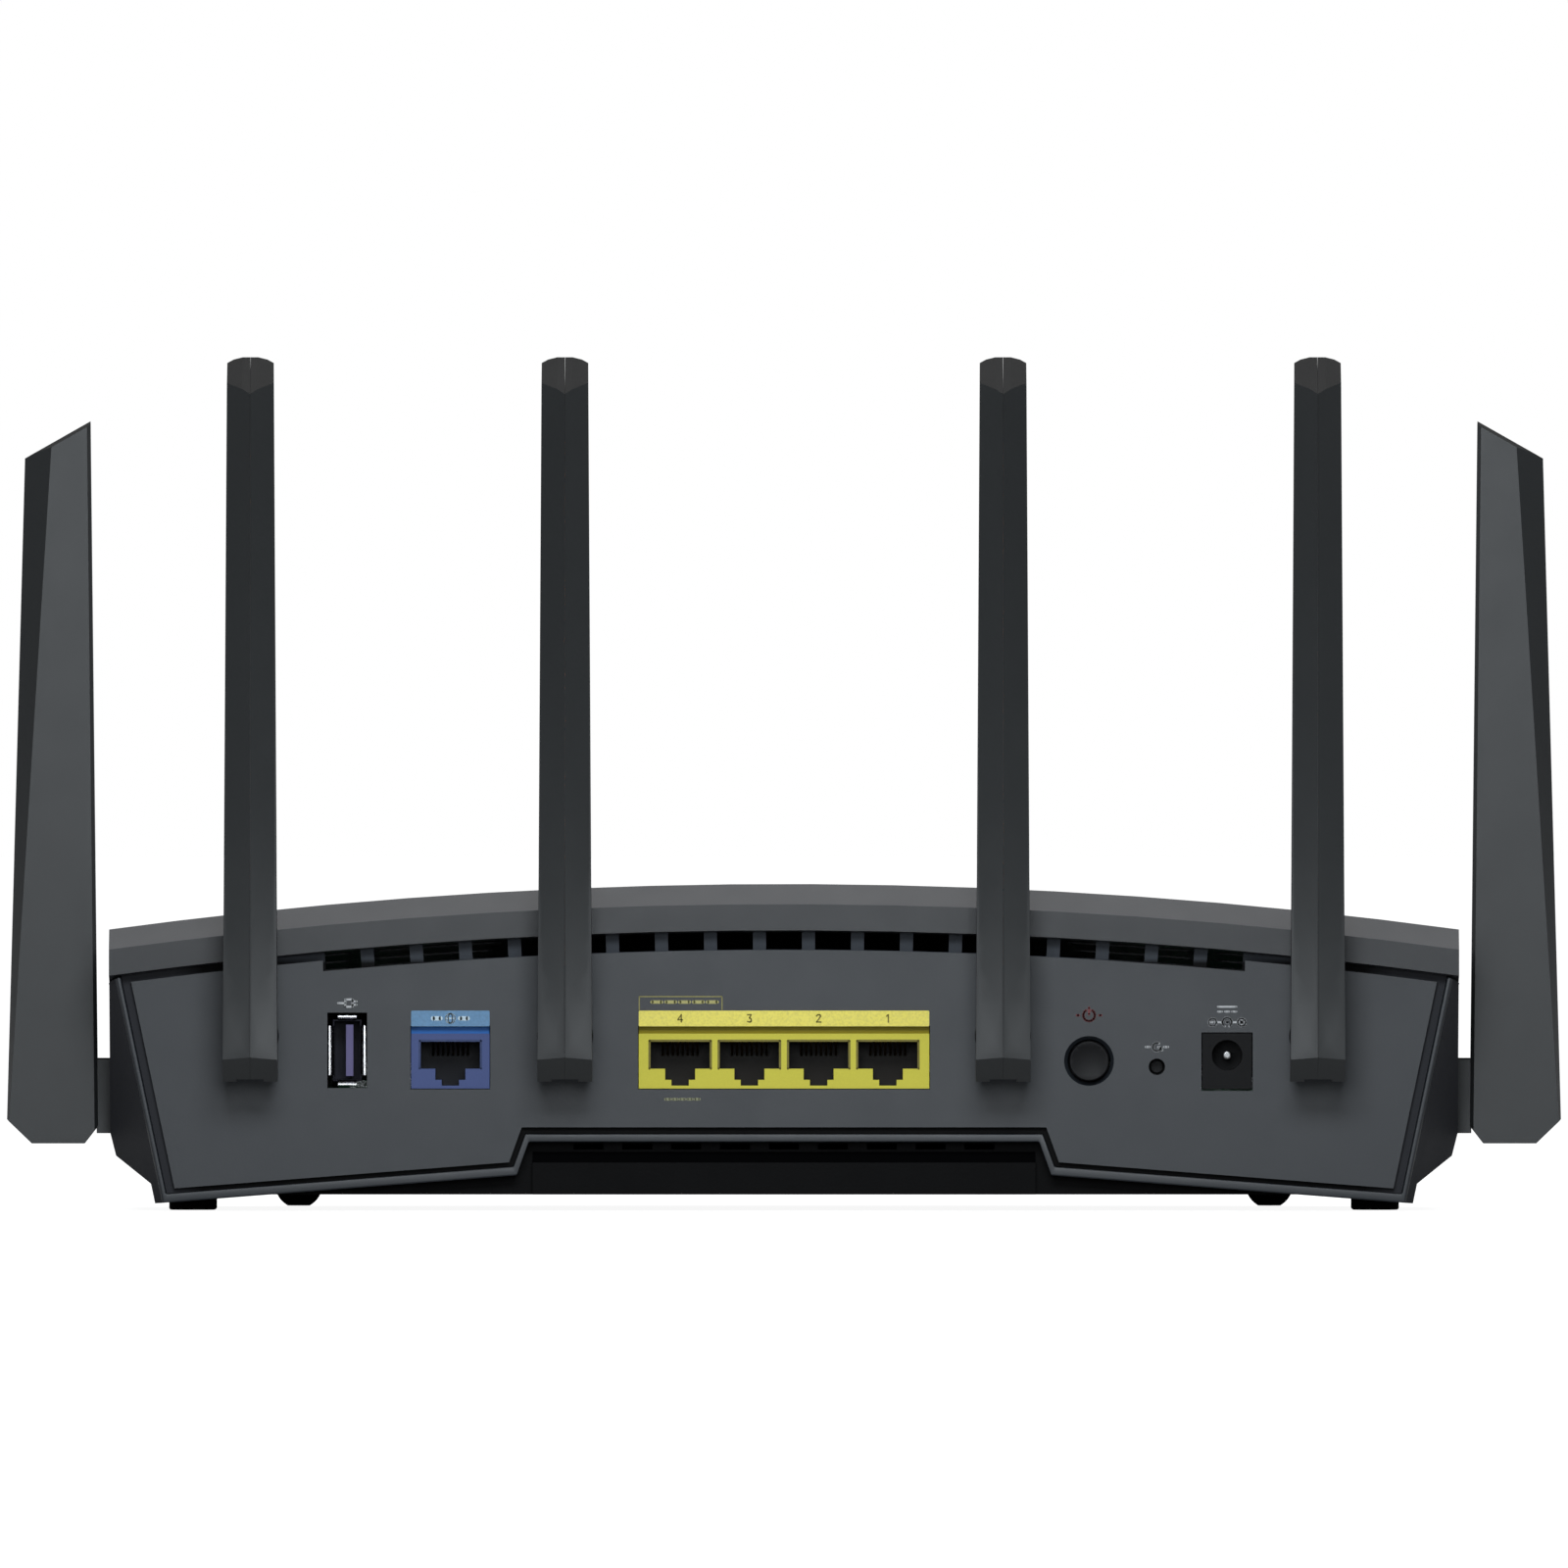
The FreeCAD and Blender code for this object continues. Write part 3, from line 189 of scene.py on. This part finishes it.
def moulded(name, colour, rough, grain, vary=0.03, specular=0.5, zones=(), top_shading=None):
    """Moulded plastic: spark-eroded grain, faint flow marks and slightly uneven gloss.

    `grain` is its (size, depth) in mm. The last argument, when given, is the (colour, roughness)
    of the faces that look upwards; its colour is painted top light on the cover and painted
    shade on the antennas' slanted tops.
    """
    grain_mm, grain_depth = grain
    m = Mat(name)
    relief = m.noise(grain_mm, detail=2.0, rough=0.5)
    flow = m.noise(FLOW_MM, rough=0.6, stretch=(1.6, 1.0, 1.0))
    speck = m.noise(grain_mm * SPECK_PART, detail=1.0, rough=0.5)
    base = m.ramp(flow, (0.3, shade(colour, 1 - vary)), (0.7, shade(colour, 1 + vary)))
    base = m.mix(m.span(speck, 0.0, 0.5, (0.35, 0.7)), base, shade(colour, 1 + vary * 2.5))
    base = m.zoned(base, zones)
    gloss = m.span(m.noise(HAZE_MM, detail=4.0, rough=0.6), rough - 0.02, rough + 0.03)
    # Painted top shading: the faces that look upwards take the given colour, lighter on the cover
    # and darker on the antennas.
    if top_shading:
        top_shading_colour, top_shading_rough = top_shading
        top_shading_mask = m.facing_up()
        base = m.mix(top_shading_mask, base, top_shading_colour)
        gloss = m.math("ADD", gloss, m.math("MULTIPLY", top_shading_mask, top_shading_rough - rough))
    m.set(Base_Color=base, Roughness=gloss, Specular_IOR_Level=specular)
    m.bump(relief, grain_depth, strength=0.6)
    return m


def metal(name, colour, rough, brush, zones=()):
    """Drawn or plated metal with a fine grain, longer along the axes that `brush` stretches."""
    m = Mat(name)
    line = m.noise(SCRATCH_MM, detail=4.0, rough=0.6, stretch=brush)
    cloud = m.noise(TARNISH_MM, rough=0.6)
    tone = m.ramp(cloud, (0.3, shade(colour, 0.88)), (0.7, shade(colour, 1.06)))
    m.set(
        Base_Color=m.zoned(tone, zones),
        Roughness=m.span(line, rough - 0.08, rough + 0.12),
        Metallic=1.0,
    )
    m.bump(line, 0.006, strength=0.5)
    return m


# --- colours ------------------------------------------------------------------------------------
PANEL_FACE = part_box("rear_panel")[0].y / MM
JACK_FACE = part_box("lan_jack")[0].y / MM
USB_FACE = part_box("usb_shell")[0].y / MM
DARK_GREY = srgb(52, 53, 57)
CHEEK_X = (120.0, 126.0)      # the inner edge of the cheeks beside the port panel
RECESS_SHADE_Y = (-69.0, -71.0)     # the front of what lies under and behind the port panel
GROOVE_LIGHT_Z = (51.0, 52.0)       # the lower edge of what shows in the groove under the rim


def mouth_shade_zones(rim, cavity):
    """Painted shade in a network socket: a darker tone just inside its mouth, and near-black
    deeper in.
    """
    return [
        ("Y", JACK_FACE + 0.4, JACK_FACE + 1.2, rim),
        ("Y", JACK_FACE + 1.8, JACK_FACE + 3.0, cavity),
    ]


yellow_socket_shade = mouth_shade_zones(srgb(152, 138, 6), srgb(26, 20, 12))
blue_socket_shade = mouth_shade_zones(srgb(50, 114, 190), srgb(10, 12, 22))
# Painted shade inside the USB port: on the tongue from 2 to 4 mm behind the panel's face, and on
# the shell just past its mouth.
tongue_shade_zones = [("Y", PANEL_FACE + 2.0, PANEL_FACE + 4.0, srgb(16, 16, 34))]
shell_shade_zones = [("Y", USB_FACE + 0.2, USB_FACE + 0.4, srgb(22, 22, 26))]
# Painted shade and light on the base: near-black painted shade behind the front of the recess
# under and behind the port panel; above the lower edge of the groove under the rim, a grey paler
# than the plain one, painted light on the backing that shows in the groove's shade; the cheeks
# beside the port panel keep the plain dark grey.
base_shade_zones = [
    ("Y", *RECESS_SHADE_Y, srgb(6, 6, 7)),
    ("Z", *GROOVE_LIGHT_Z, srgb(66, 70, 76)),
    ("X", *CHEEK_X, DARK_GREY),
    ("X", *(-x for x in CHEEK_X), DARK_GREY),
]

materials = {
    # The cover's faces that look upwards carry painted top light.
    "cover_plastic": moulded(
        "Cover", srgb(34, 36, 39), 0.4, (0.35, 0.014), top_shading=(srgb(60, 61, 64), 0.4)),
    "panel_plastic": moulded("Port_panel", srgb(38, 42, 47), 0.4, (0.4, 0.012)),
    "base_plastic": moulded(
        "Base", DARK_GREY, 0.5, (0.5, 0.03), vary=0.08, specular=0.07, zones=base_shade_zones),
    # The antennas' slanted tops carry painted shade.
    "antenna_plastic": moulded(
        "Antenna", srgb(43, 45, 46), 0.4, (0.3, 0.008), specular=0.46,
        top_shading=(srgb(6, 6, 6), 0.7)),
    "foot_rubber": moulded(
        "Rubber", srgb(10, 10, 10), 0.8, (0.6, 0.03), vary=0.1, specular=0.06),
    "screw_steel": metal("Screw_steel", srgb(150, 150, 152), 0.34, (1, 1, 1)),
    "chip_plastic": moulded("Chip", srgb(34, 34, 36), 0.55, (0.2, 0.01)),
    "tinned_steel": metal("Tinned_steel", srgb(215, 216, 218), 0.24, (1, 14, 1)),
    "thermal_rubber": moulded("Thermal_pad", srgb(140, 150, 168), 0.8, (0.8, 0.03)),
    "heat_sink_aluminium": metal("Aluminium", srgb(190, 192, 194), 0.4, (1, 20, 1)),
    "light_pipe_plastic": moulded("Light_pipe", srgb(222, 226, 230), 0.3, (0.5, 0.004)),
    # The sockets' plastics carry painted shade at their mouths and deeper in.
    "blue_plastic": moulded(
        "Blue_plastic", srgb(76, 90, 138), 0.4, (0.5, 0.006), specular=0.14,
        zones=blue_socket_shade),
    "yellow_plastic": moulded(
        "Yellow_plastic", srgb(214, 206, 76), 0.4, (0.5, 0.006), specular=0.14,
        zones=yellow_socket_shade),
    "contact_brass": metal("Gold_contact", srgb(120, 92, 44), 0.3, (1, 10, 1)),
    # The tongue carries painted shade deeper in.
    "tongue_plastic": moulded(
        "Usb_tongue", srgb(104, 98, 138), 0.42, (0.4, 0.006), specular=0.15,
        zones=tongue_shade_zones),
    "socket_plastic": moulded("Socket", srgb(8, 8, 10), 0.42, (0.35, 0.008), specular=0.12),
    "pin_steel": metal("Inlet_pin", srgb(150, 150, 150), 0.3, (1, 8, 1)),
    "button_plastic": moulded("Button", srgb(12, 12, 14), 0.4, (0.25, 0.006), specular=0.15),
    "lead_plastic": moulded("Lead_sheath", srgb(30, 30, 32), 0.35, (0.6, 0.004)),
    "radiator_brass": metal("Copper", srgb(196, 128, 86), 0.3, (1, 1, 10)),
}

TRACK_SCALE = 260.0           # of the brick pattern: rows of copper tracks about 1 mm apart


def circuit_board():
    """Green solder mask with the faint relief of copper tracks and pads."""
    m = Mat("Circuit_board")
    place = m.add("ShaderNodeMapping")
    m.link(m.coord, place.inputs["Vector"])
    place.inputs["Scale"].default_value = (TRACK_SCALE,) * 3
    brick = m.add("ShaderNodeTexBrick")
    brick.inputs["Scale"].default_value = 1.0
    brick.inputs["Mortar Size"].default_value = 0.05
    brick.inputs["Color1"].default_value = srgb(18, 74, 48)
    brick.inputs["Color2"].default_value = srgb(24, 88, 56)
    brick.inputs["Mortar"].default_value = srgb(40, 116, 76)
    m.link(place.outputs["Vector"], brick.inputs["Vector"])
    tone = m.mix(m.span(m.noise(14.0), 0.0, 0.6), brick.outputs["Color"], srgb(14, 60, 38))
    m.set(Base_Color=tone, Roughness=m.span(m.noise(3.0), 0.25, 0.42))
    m.bump(brick.outputs["Fac"], 0.02, strength=0.5)
    return m


materials["circuit_board"] = circuit_board()

slot_of = {s["node"]: s["material_slot"] for s in frame["record"]["subparts"]}
# The USB shell's steel carries painted shade inside its mouth.
usb_steel = metal("Usb_steel", srgb(222, 222, 224), 0.24, (1, 14, 1), shell_shade_zones)
special = {"usb_shell": usb_steel}
for name, obj in nodes.items():
    obj.data.materials.clear()
    obj.data.materials.append(special.get(name, materials[slot_of[name]]).mat)


# --- softened edges on the CAD nodes ------------------------------------------------------------
def soften(name, width_mm, angle):
    """Round the node's edges sharper than `angle` degrees in the render."""
    o = nodes[name]
    weld = o.modifiers.new("Weld", "WELD")
    weld.merge_threshold = 1e-6
    b = o.modifiers.new("Bevel", "BEVEL")
    b.width = width_mm * MM
    b.segments = 2
    b.limit_method = "ANGLE"
    b.angle_limit = math.radians(angle)
    b.use_clamp_overlap = True
    b.miter_outer = "MITER_ARC"
    even = o.modifiers.new("Even_normals", "WEIGHTED_NORMAL")
    even.mode = "FACE_AREA"
    even.weight = 100


for n in range(1, 7):
    for half in "ab":
        soften(f"antenna_{n}_shell_{half}", 0.35, 12)
soften("top_cover", 0.4, 20)
soften("rear_frame", 0.25, 30)
soften("power_button", 0.3, 40)


# --- printed marks and coloured strips ----------------------------------------------------------
def ink(name, colour, rough=0.55):
    """Pad-printed ink: a little uneven in cover, with a faint orange-peel surface."""
    m = Mat(name)
    cover = m.noise(0.5, detail=2.0, rough=0.6)
    m.set(
        Base_Color=m.ramp(cover, (0.25, shade(colour, 0.8)), (0.6, colour)),
        Roughness=m.span(m.noise(1.5), rough - 0.06, rough + 0.08),
    )
    m.bump(m.noise(0.25), 0.004, strength=0.5)
    return m


inks = {
    "white": ink("White_ink", srgb(196, 198, 200)),
    "red": ink("Red_ink", srgb(112, 40, 42)),
    "grey": ink("Grey_ink", srgb(150, 152, 118)),
    "pale_blue": ink("Pale_blue_strip", srgb(94, 144, 186), 0.4),
    "yellow": ink("Yellow_strip", srgb(250, 236, 96), 0.4),
    "olive": ink("Olive_ink", srgb(128, 118, 20)),
    "yellow_ink": ink("Yellow_ink", srgb(146, 140, 76)),
    "cream": ink("Cream_ink", srgb(186, 180, 112)),
    "ice": ink("Ice_ink", srgb(206, 228, 240)),
    # These two are painted shade round the sockets' mouths, not print.
    "olive_shade": ink("Olive_shade", srgb(122, 112, 18)),
    "navy_shade": ink("Navy_shade", srgb(36, 58, 108)),
    "rule": ink("Rule_ink", srgb(60, 62, 64)),
    "label": ink("Label_paper", srgb(176, 178, 180), 0.6),
}

# The back and the front of a printed layer, in mm from the surface that it is on; - is outwards.
PANEL_INK = (0.02, -0.04)
STRIP_BODY = (0.05, -0.12)
STRIP_INK = (-0.1, -0.16)     # on a strip, measured from the panel's face like the strip itself
LABEL_BODY = (-0.01, -0.09)
LABEL_INK = (-0.08, -0.11)
EDGE_SHADE = 0.02               # half the thickness of the shading on the sockets' mouths
END_SIDES = 10                # of the polygon that rounds a stroke's ends and corners


wan_lo, wan_hi = (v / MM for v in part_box("wan_jack"))
lan_lo, lan_hi = (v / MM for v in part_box("lan_jack"))
LAN_PITCH = 14.3
LAN_CENTRES = [(lan_lo.x + lan_hi.x) / 2 + (i - 1.5) * LAN_PITCH for i in range(4)]
WAN_CENTRE = (wan_lo.x + wan_hi.x) / 2
STRIP_RISE = (0.05, 3.3)      # of a strip's edges, above the top of its jack
STRIP_MIDDLE = 1.7
STRIP_CORNER = 0.25
FIELD_X = (0.12, 17.2)        # of the outlined field, from the left end of the LAN jack
FIELD_RISE = (3.45, 6.2)      # and above its top
LOWER_ROW_DROP = 2.2          # of the dashes under the LAN jack, below its underside
CAVITY_HALF = 6.15
CAVITY_RISE = (4.1, 9.7)      # of a socket's mouth, above the underside of its jack
MOUTH_EDGE = 0.2              # from the mouth to the middle of the shading round it
LABEL_CEILING = 3.45          # of the recess under the case that holds the label
LABEL_HALF = 32.5
LABEL_Y = (35.5, 60.5)
BORDER_INSET = 1.5


def on_panel(x, z, y):
    """A point given in mm over the panel's face, as metres."""
    return Vector((x * MM, (PANEL_FACE + y) * MM, z * MM))


def on_underside(x, y, z):
    """A point given in mm over the ceiling of the label's recess, as metres."""
    return Vector((x * MM, y * MM, (LABEL_CEILING + z) * MM))


def add_piece(name, bm, colour):
    """Make a piece that rides on the case from a finished bmesh, in one of the inks."""
    mesh = bpy.data.meshes.new(name)
    bmesh.ops.recalc_face_normals(bm, faces=bm.faces)
    bm.to_mesh(mesh)
    bm.free()
    mesh.materials.append(inks[colour].mat)
    o = bpy.data.objects.new(name, mesh)
    bpy.context.scene.collection.objects.link(o)
    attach(o, "case")


def solid_outline(bm, points, layer, place=on_panel):
    """A closed outline given the thickness of a layer, which is its (back, front)."""
    back, front = ([bm.verts.new(place(u, v, depth)) for u, v in points] for depth in layer)
    bm.faces.new(back)
    bm.faces.new(front)
    for i in range(len(points)):
        j = (i + 1) % len(points)
        bm.faces.new((back[i], back[j], front[j], front[i]))


def stroke(bm, points, width, layer, place):
    """A line of even width through the points, with round ends and corners."""
    h = width / 2
    for (xa, za), (xb, zb) in zip(points, points[1:]):
        length = math.hypot(xb - xa, zb - za)
        nx, nz = -(zb - za) / length * h, (xb - xa) / length * h
        quad = [(xa + nx, za + nz), (xb + nx, zb + nz), (xb - nx, zb - nz), (xa - nx, za - nz)]
        solid_outline(bm, quad, layer, place)
    turns = [2 * math.pi * i / END_SIDES for i in range(END_SIDES)]
    for x, z in points:
        ring = [(x + h * math.cos(a), z + h * math.sin(a)) for a in turns]
        solid_outline(bm, ring, layer, place)


def arc(cx, cz, r, start, end, steps=12):
    """Points on a circle from one angle to another, in degrees."""
    turn = [math.radians(start + (end - start) * i / steps) for i in range(steps + 1)]
    return [(cx + r * math.cos(a), cz + r * math.sin(a)) for a in turn]


def rounded(x0, x1, z0, z1, r, steps=4):
    """A closed rectangle with corners of radius r."""
    centres = [(x1 - r, z1 - r), (x0 + r, z1 - r), (x0 + r, z0 + r), (x1 - r, z0 + r)]
    points = []
    for quarter, (cx, cz) in enumerate(centres):
        points += arc(cx, cz, r, 90 * quarter, 90 * (quarter + 1), steps)
    return points


def dashes(x0, x1, z, count, part=0.6):
    """A row of short even dashes from x0 to x1, each filling that part of its pitch."""
    pitch = (x1 - x0) / (count - 1 + part)
    return [[(x0 + i * pitch, z), (x0 + (i + part) * pitch, z)] for i in range(count)]


def placed(drawing, cx, cz, size=1.0):
    """A drawing made round (0, 0), scaled and moved to its place."""
    return [[(cx + x * size, cz + z * size) for x, z in line] for line in drawing]


def strip(name, lo, hi, colour):
    """The coloured strip that lies along the top of the jack whose corners are given."""
    bm = bmesh.new()
    outline = rounded(lo.x, hi.x, hi.z + STRIP_RISE[0], hi.z + STRIP_RISE[1], STRIP_CORNER)
    solid_outline(bm, outline, STRIP_BODY)
    add_piece(name, bm, colour)


def mark(name, groups, colour, layer=PANEL_INK, place=on_panel):
    """One printed piece, from groups of (width in mm, lines)."""
    bm = bmesh.new()
    for width, lines in groups:
        for line in lines:
            stroke(bm, line, width, layer, place)
    add_piece(name, bm, colour)


# Drawings round (0, 0), in mm except for the digits, which have a size of their own.
DIGITS = {
    1: [[(-0.3, 0.45), (0.1, 0.8), (0.1, -0.8)]],
    2: [[(-0.45, 0.5), (-0.2, 0.8), (0.25, 0.8), (0.45, 0.45), (-0.45, -0.8), (0.5, -0.8)]],
    3: [[(-0.4, 0.8), (0.4, 0.8), (0.0, 0.1), (0.4, -0.1), (0.4, -0.6), (0.15, -0.8),
         (-0.4, -0.7)]],
    4: [[(0.25, -0.8), (0.25, 0.8), (-0.5, -0.3), (0.5, -0.3)]],
}
GLOBE = [arc(0, 0, 1.0, 0, 360, 20), [(-1.0, 0), (1.0, 0)]]
for reach in (-0.45, 0.45):
    GLOBE.append([(reach * x, z) for x, z in arc(0, 0, 1.0, -90, 90)])
USB_PLUG = [
    [(-0.4, -0.75), (1.1, -0.75), (1.1, 0.75), (-0.4, 0.75), (-0.4, -0.75)],
    [(1.1, 0.35), (1.9, 0.35)],
    [(1.1, -0.35), (1.9, -0.35)],
    [(-0.4, 0), (-1.9, 0)],
]
POWER_SIGN = [arc(0, 0, 1.2, 120, 420), [(0, 0.2), (0, 1.6)]]
DIRECT_CURRENT = [[(-1.9, 0.5), (1.9, 0.5)]] + dashes(-1.9, 1.9, -0.5, 3)


def both_sides(near, far):
    """A short level line on each side of a sign's centre."""
    return [[(s * near, 0), (s * far, 0)] for s in (-1, 1)]


def reset_arrow():
    """A ring left open, with an arrow's head at its end."""
    turn = arc(0, 0, 0.85, 60, 350)
    x, z = turn[-1]
    return [turn, [(x - 0.55, z + 0.1), (x, z), (x + 0.25, z - 0.5)]]


def polarity_sign():
    """The centre-positive sign: a minus on the left, the plug, and a plus on the right."""
    side, ring, bar = 3.0, 0.8, 0.35
    lines = [arc(0, 0, 0.95, -60, 240, 16), arc(0, 0, 0.2, 0, 360, 6)]
    for s in (-1, 1):
        lines.append(arc(s * side, 0, ring, 0, 360, 14))
        lines.append([(s * 1.0, 0), (s * (side - ring), 0)])
        lines.append([(s * side - bar, 0), (s * side + bar, 0)])
    lines.append([(side, -bar), (side, bar)])
    return lines


def opening_edges(name, centres, jack_z, colour):
    """Painted shade along the sides and top of each socket's mouth, drawn as a band of darker ink.
    """
    face = JACK_FACE - PANEL_FACE
    low, high = (jack_z + rise for rise in CAVITY_RISE)
    top = high + MOUTH_EDGE
    edges = []
    for x in centres:
        left, right = x - CAVITY_HALF - MOUTH_EDGE, x + CAVITY_HALF + MOUTH_EDGE
        edges.append([(left, low), (left, top), (right, top), (right, low)])
    mark(name, [(0.45, edges)], colour, (face + EDGE_SHADE, face - EDGE_SHADE))


def lan_marks():
    """A numeral over each socket, an outlined field over the first and dashes below them."""
    numerals = []
    for i, x in enumerate(LAN_CENTRES):
        numerals += placed(DIGITS[4 - i], x, lan_hi.z + STRIP_MIDDLE, 0.95)
    mark("lan_numerals", [(0.28, numerals)], "olive", STRIP_INK)
    left, right = (lan_lo.x + x for x in FIELD_X)
    low, high = (lan_hi.z + rise for rise in FIELD_RISE)
    outline = [(left, low), (left, high), (right, high), (right, low)]
    mark("lan_field_outline", [(0.24, [outline])], "yellow_ink")
    row = dashes(left + 2.6, right - 1.0, (low + high) / 2 + 0.25, 5, 0.7)
    mark("lan_field_dashes", [(0.7, row)], "cream")
    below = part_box("lan_jack")[0].z / MM - LOWER_ROW_DROP
    lower_row = dashes(left + 5.4, left + 12.4, below, 5, 0.62)
    mark("lan_lower_dashes", [(0.55, lower_row)], "grey")


def wan_mark():
    """A plain globe between two thick bars."""
    where = (WAN_CENTRE, wan_hi.z + STRIP_MIDDLE)
    groups = [(0.26, placed(GLOBE, *where)), (0.9, placed(both_sides(2.0, 3.6), *where))]
    mark("wan_mark", groups, "ice", STRIP_INK)


def usb_mark():
    lo, hi = (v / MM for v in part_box("usb_shell"))
    mark("usb_mark", [(0.42, placed(USB_PLUG, (lo.x + hi.x) / 2, hi.z + 2.6))], "white")


def power_mark():
    lo, hi = (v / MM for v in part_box("power_button"))
    sign = POWER_SIGN + both_sides(2.1, 2.5)
    mark("power_mark", [(0.5, placed(sign, (lo.x + hi.x) / 2, hi.z + 5.3))], "red")


def reset_mark():
    lo, hi = (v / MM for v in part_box("reset_plunger"))
    bars = [[(-2.3, 0), (-1.5, 0)], [(1.5, 0), (2.3, 0)]]
    lines = placed(reset_arrow() + bars, (lo.x + hi.x) / 2, (lo.z + hi.z) / 2 + 4.1)
    mark("reset_mark", [(0.46, lines)], "white")


def inlet_mark():
    """The direct-current sign above the centre-positive polarity sign."""
    lo, hi = (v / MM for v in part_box("dc_jack"))
    cx = (lo.x + hi.x) / 2
    lines = placed(DIRECT_CURRENT, cx, hi.z + 5.0) + placed(polarity_sign(), cx, hi.z + 2.3)
    mark("inlet_mark", [(0.4, lines)], "white")


def underside_label():
    """A blank label in the recess under the case, with a border and three ruled lines."""
    near, far = LABEL_Y
    bm = bmesh.new()
    paper = rounded(-LABEL_HALF, LABEL_HALF, near, far, 1.5, 6)
    solid_outline(bm, paper, LABEL_BODY, on_underside)
    add_piece("underside_label", bm, "label")
    half = LABEL_HALF - BORDER_INSET
    border = rounded(-half, half, near + BORDER_INSET, far - BORDER_INSET, 1.0)
    rules = [[(-28.0, y), (28.0, y)] for y in (43.0, 48.0, 53.0)]
    groups = [(0.3, [border + border[:1]]), (0.2, rules)]
    mark("underside_label_rules", groups, "rule", LABEL_INK, on_underside)


strip("wan_strip", wan_lo, wan_hi, "pale_blue")
strip("lan_strip", lan_lo, lan_hi, "yellow")
opening_edges("lan_mouth_shade", LAN_CENTRES, lan_lo.z, "olive_shade")
opening_edges("wan_mouth_shade", [WAN_CENTRE], wan_lo.z, "navy_shade")
lan_marks()
wan_mark()
usb_mark()
power_mark()
reset_mark()
inlet_mark()
underside_label()


# --- camera, floor and light --------------------------------------------------------------------
FRAME_WIDTH = 0.3232          # of the picture, in metres at the object
LENS, SENSOR = 1400.0, 36.0   # a very long lens, as the picture shows hardly any perspective
CAMERA_HEIGHT = 0.0880
cam_data = bpy.data.cameras.new("Camera")
cam = bpy.data.objects.new("Camera", cam_data)
bpy.context.scene.collection.objects.link(cam)
bpy.context.scene.camera = cam
cam_data.lens = LENS
cam_data.sensor_width = SENSOR
distance = FRAME_WIDTH / SENSOR * LENS
cam.location = (0.0, cad_box[0].y - distance, CAMERA_HEIGHT)
cam.rotation_euler = (math.radians(90), 0, 0)
cam_data.clip_start, cam_data.clip_end = 0.1, 200.0


def seen_directly(tree):
    """1 where the camera looks straight at the surface, 0 for its light on other things."""
    return tree.nodes.new("ShaderNodeLightPath").outputs["Is Camera Ray"]


world = bpy.data.worlds.new("World")
bpy.context.scene.world = world
world.use_nodes = True
wt = world.node_tree
soft = wt.nodes["Background"]
soft.inputs["Color"].default_value = (0.93, 0.96, 1.0, 1.0)
soft.inputs["Strength"].default_value = 0.18
plain = wt.nodes.new("ShaderNodeBackground")
plain.inputs["Color"].default_value = (1, 1, 1, 1)
either = wt.nodes.new("ShaderNodeMixShader")
wt.links.new(seen_directly(wt), either.inputs[0])
wt.links.new(soft.outputs[0], either.inputs[1])
wt.links.new(plain.outputs[0], either.inputs[2])
wt.links.new(either.outputs[0], wt.nodes["World Output"].inputs["Surface"])


def softbox(name, where, aim, size, power, colour=(1.0, 1.0, 1.0)):
    """A rectangular light at one point that looks at another, unseen by the camera."""
    d = bpy.data.lights.new(name, "AREA")
    d.shape = "RECTANGLE"
    d.size, d.size_y = size
    d.energy = power
    d.color = colour
    o = bpy.data.objects.new(name, d)
    bpy.context.scene.collection.objects.link(o)
    o.location = where
    o.rotation_mode = "QUATERNION"
    o.rotation_quaternion = (Vector(aim) - Vector(where)).to_track_quat("-Z", "Y")
    o.visible_camera = False


BLUISH = (0.9, 0.955, 1.0)
softbox("Key", (0.0, -1.25, 0.56), (0, 0, 0.08), (0.5, 0.3), 7.5, BLUISH)
softbox("Axis", (0.0, -1.1, 0.16), (0, 0, 0.09), (0.3, 0.2), 1.25, BLUISH)
softbox("Top", (0.0, -0.1, 1.4), (0, 0, 0.05), (1.5, 1.0), 12)
softbox("Far_left", (-1.1, 1.1, 0.9), (0, 0, 0.06), (0.7, 0.7), 2.2)
softbox("Far_right", (1.1, 1.1, 0.9), (0, 0, 0.06), (0.7, 0.7), 2.2)

FLOOR_HALF = 60.0
FLOOR_Z = -0.0002             # a little under the feet, so that their soles don't flicker
FLOOR_GLOW = (0.92, 1.0)      # seen brightness near the router, and far out where it is white
GLOW_RANGE = (0.3, 1.0)       # metres from the origin over which it changes
floor_mesh = bpy.data.meshes.new("Floor")
bm = bmesh.new()
bmesh.ops.create_grid(bm, x_segments=2, y_segments=2, size=FLOOR_HALF)
bm.to_mesh(floor_mesh)
bm.free()
floor = bpy.data.objects.new("Floor", floor_mesh)
bpy.context.scene.collection.objects.link(floor)
floor.location = (0, 0, FLOOR_Z)
fm = Mat("Floor")
tone = fm.ramp(fm.noise(300.0), (0.3, (0.36, 0.36, 0.36, 1.0)), (0.7, (0.4, 0.4, 0.4, 1.0)))
from_origin = fm.add("ShaderNodeVectorMath", operation="LENGTH")
fm.link(fm.coord, from_origin.inputs[0])
brightness = fm.span(from_origin.outputs["Value"], *FLOOR_GLOW, GLOW_RANGE)
fm.set(
    Base_Color=tone,
    Roughness=0.8,
    Specular_IOR_Level=0.0,
    Emission_Color=(1, 1, 1, 1),
    Emission_Strength=fm.math("MULTIPLY", seen_directly(fm.tree), brightness),
)
floor_mesh.materials.append(fm.mat)

bpy.context.scene.view_settings.view_transform = "Standard"
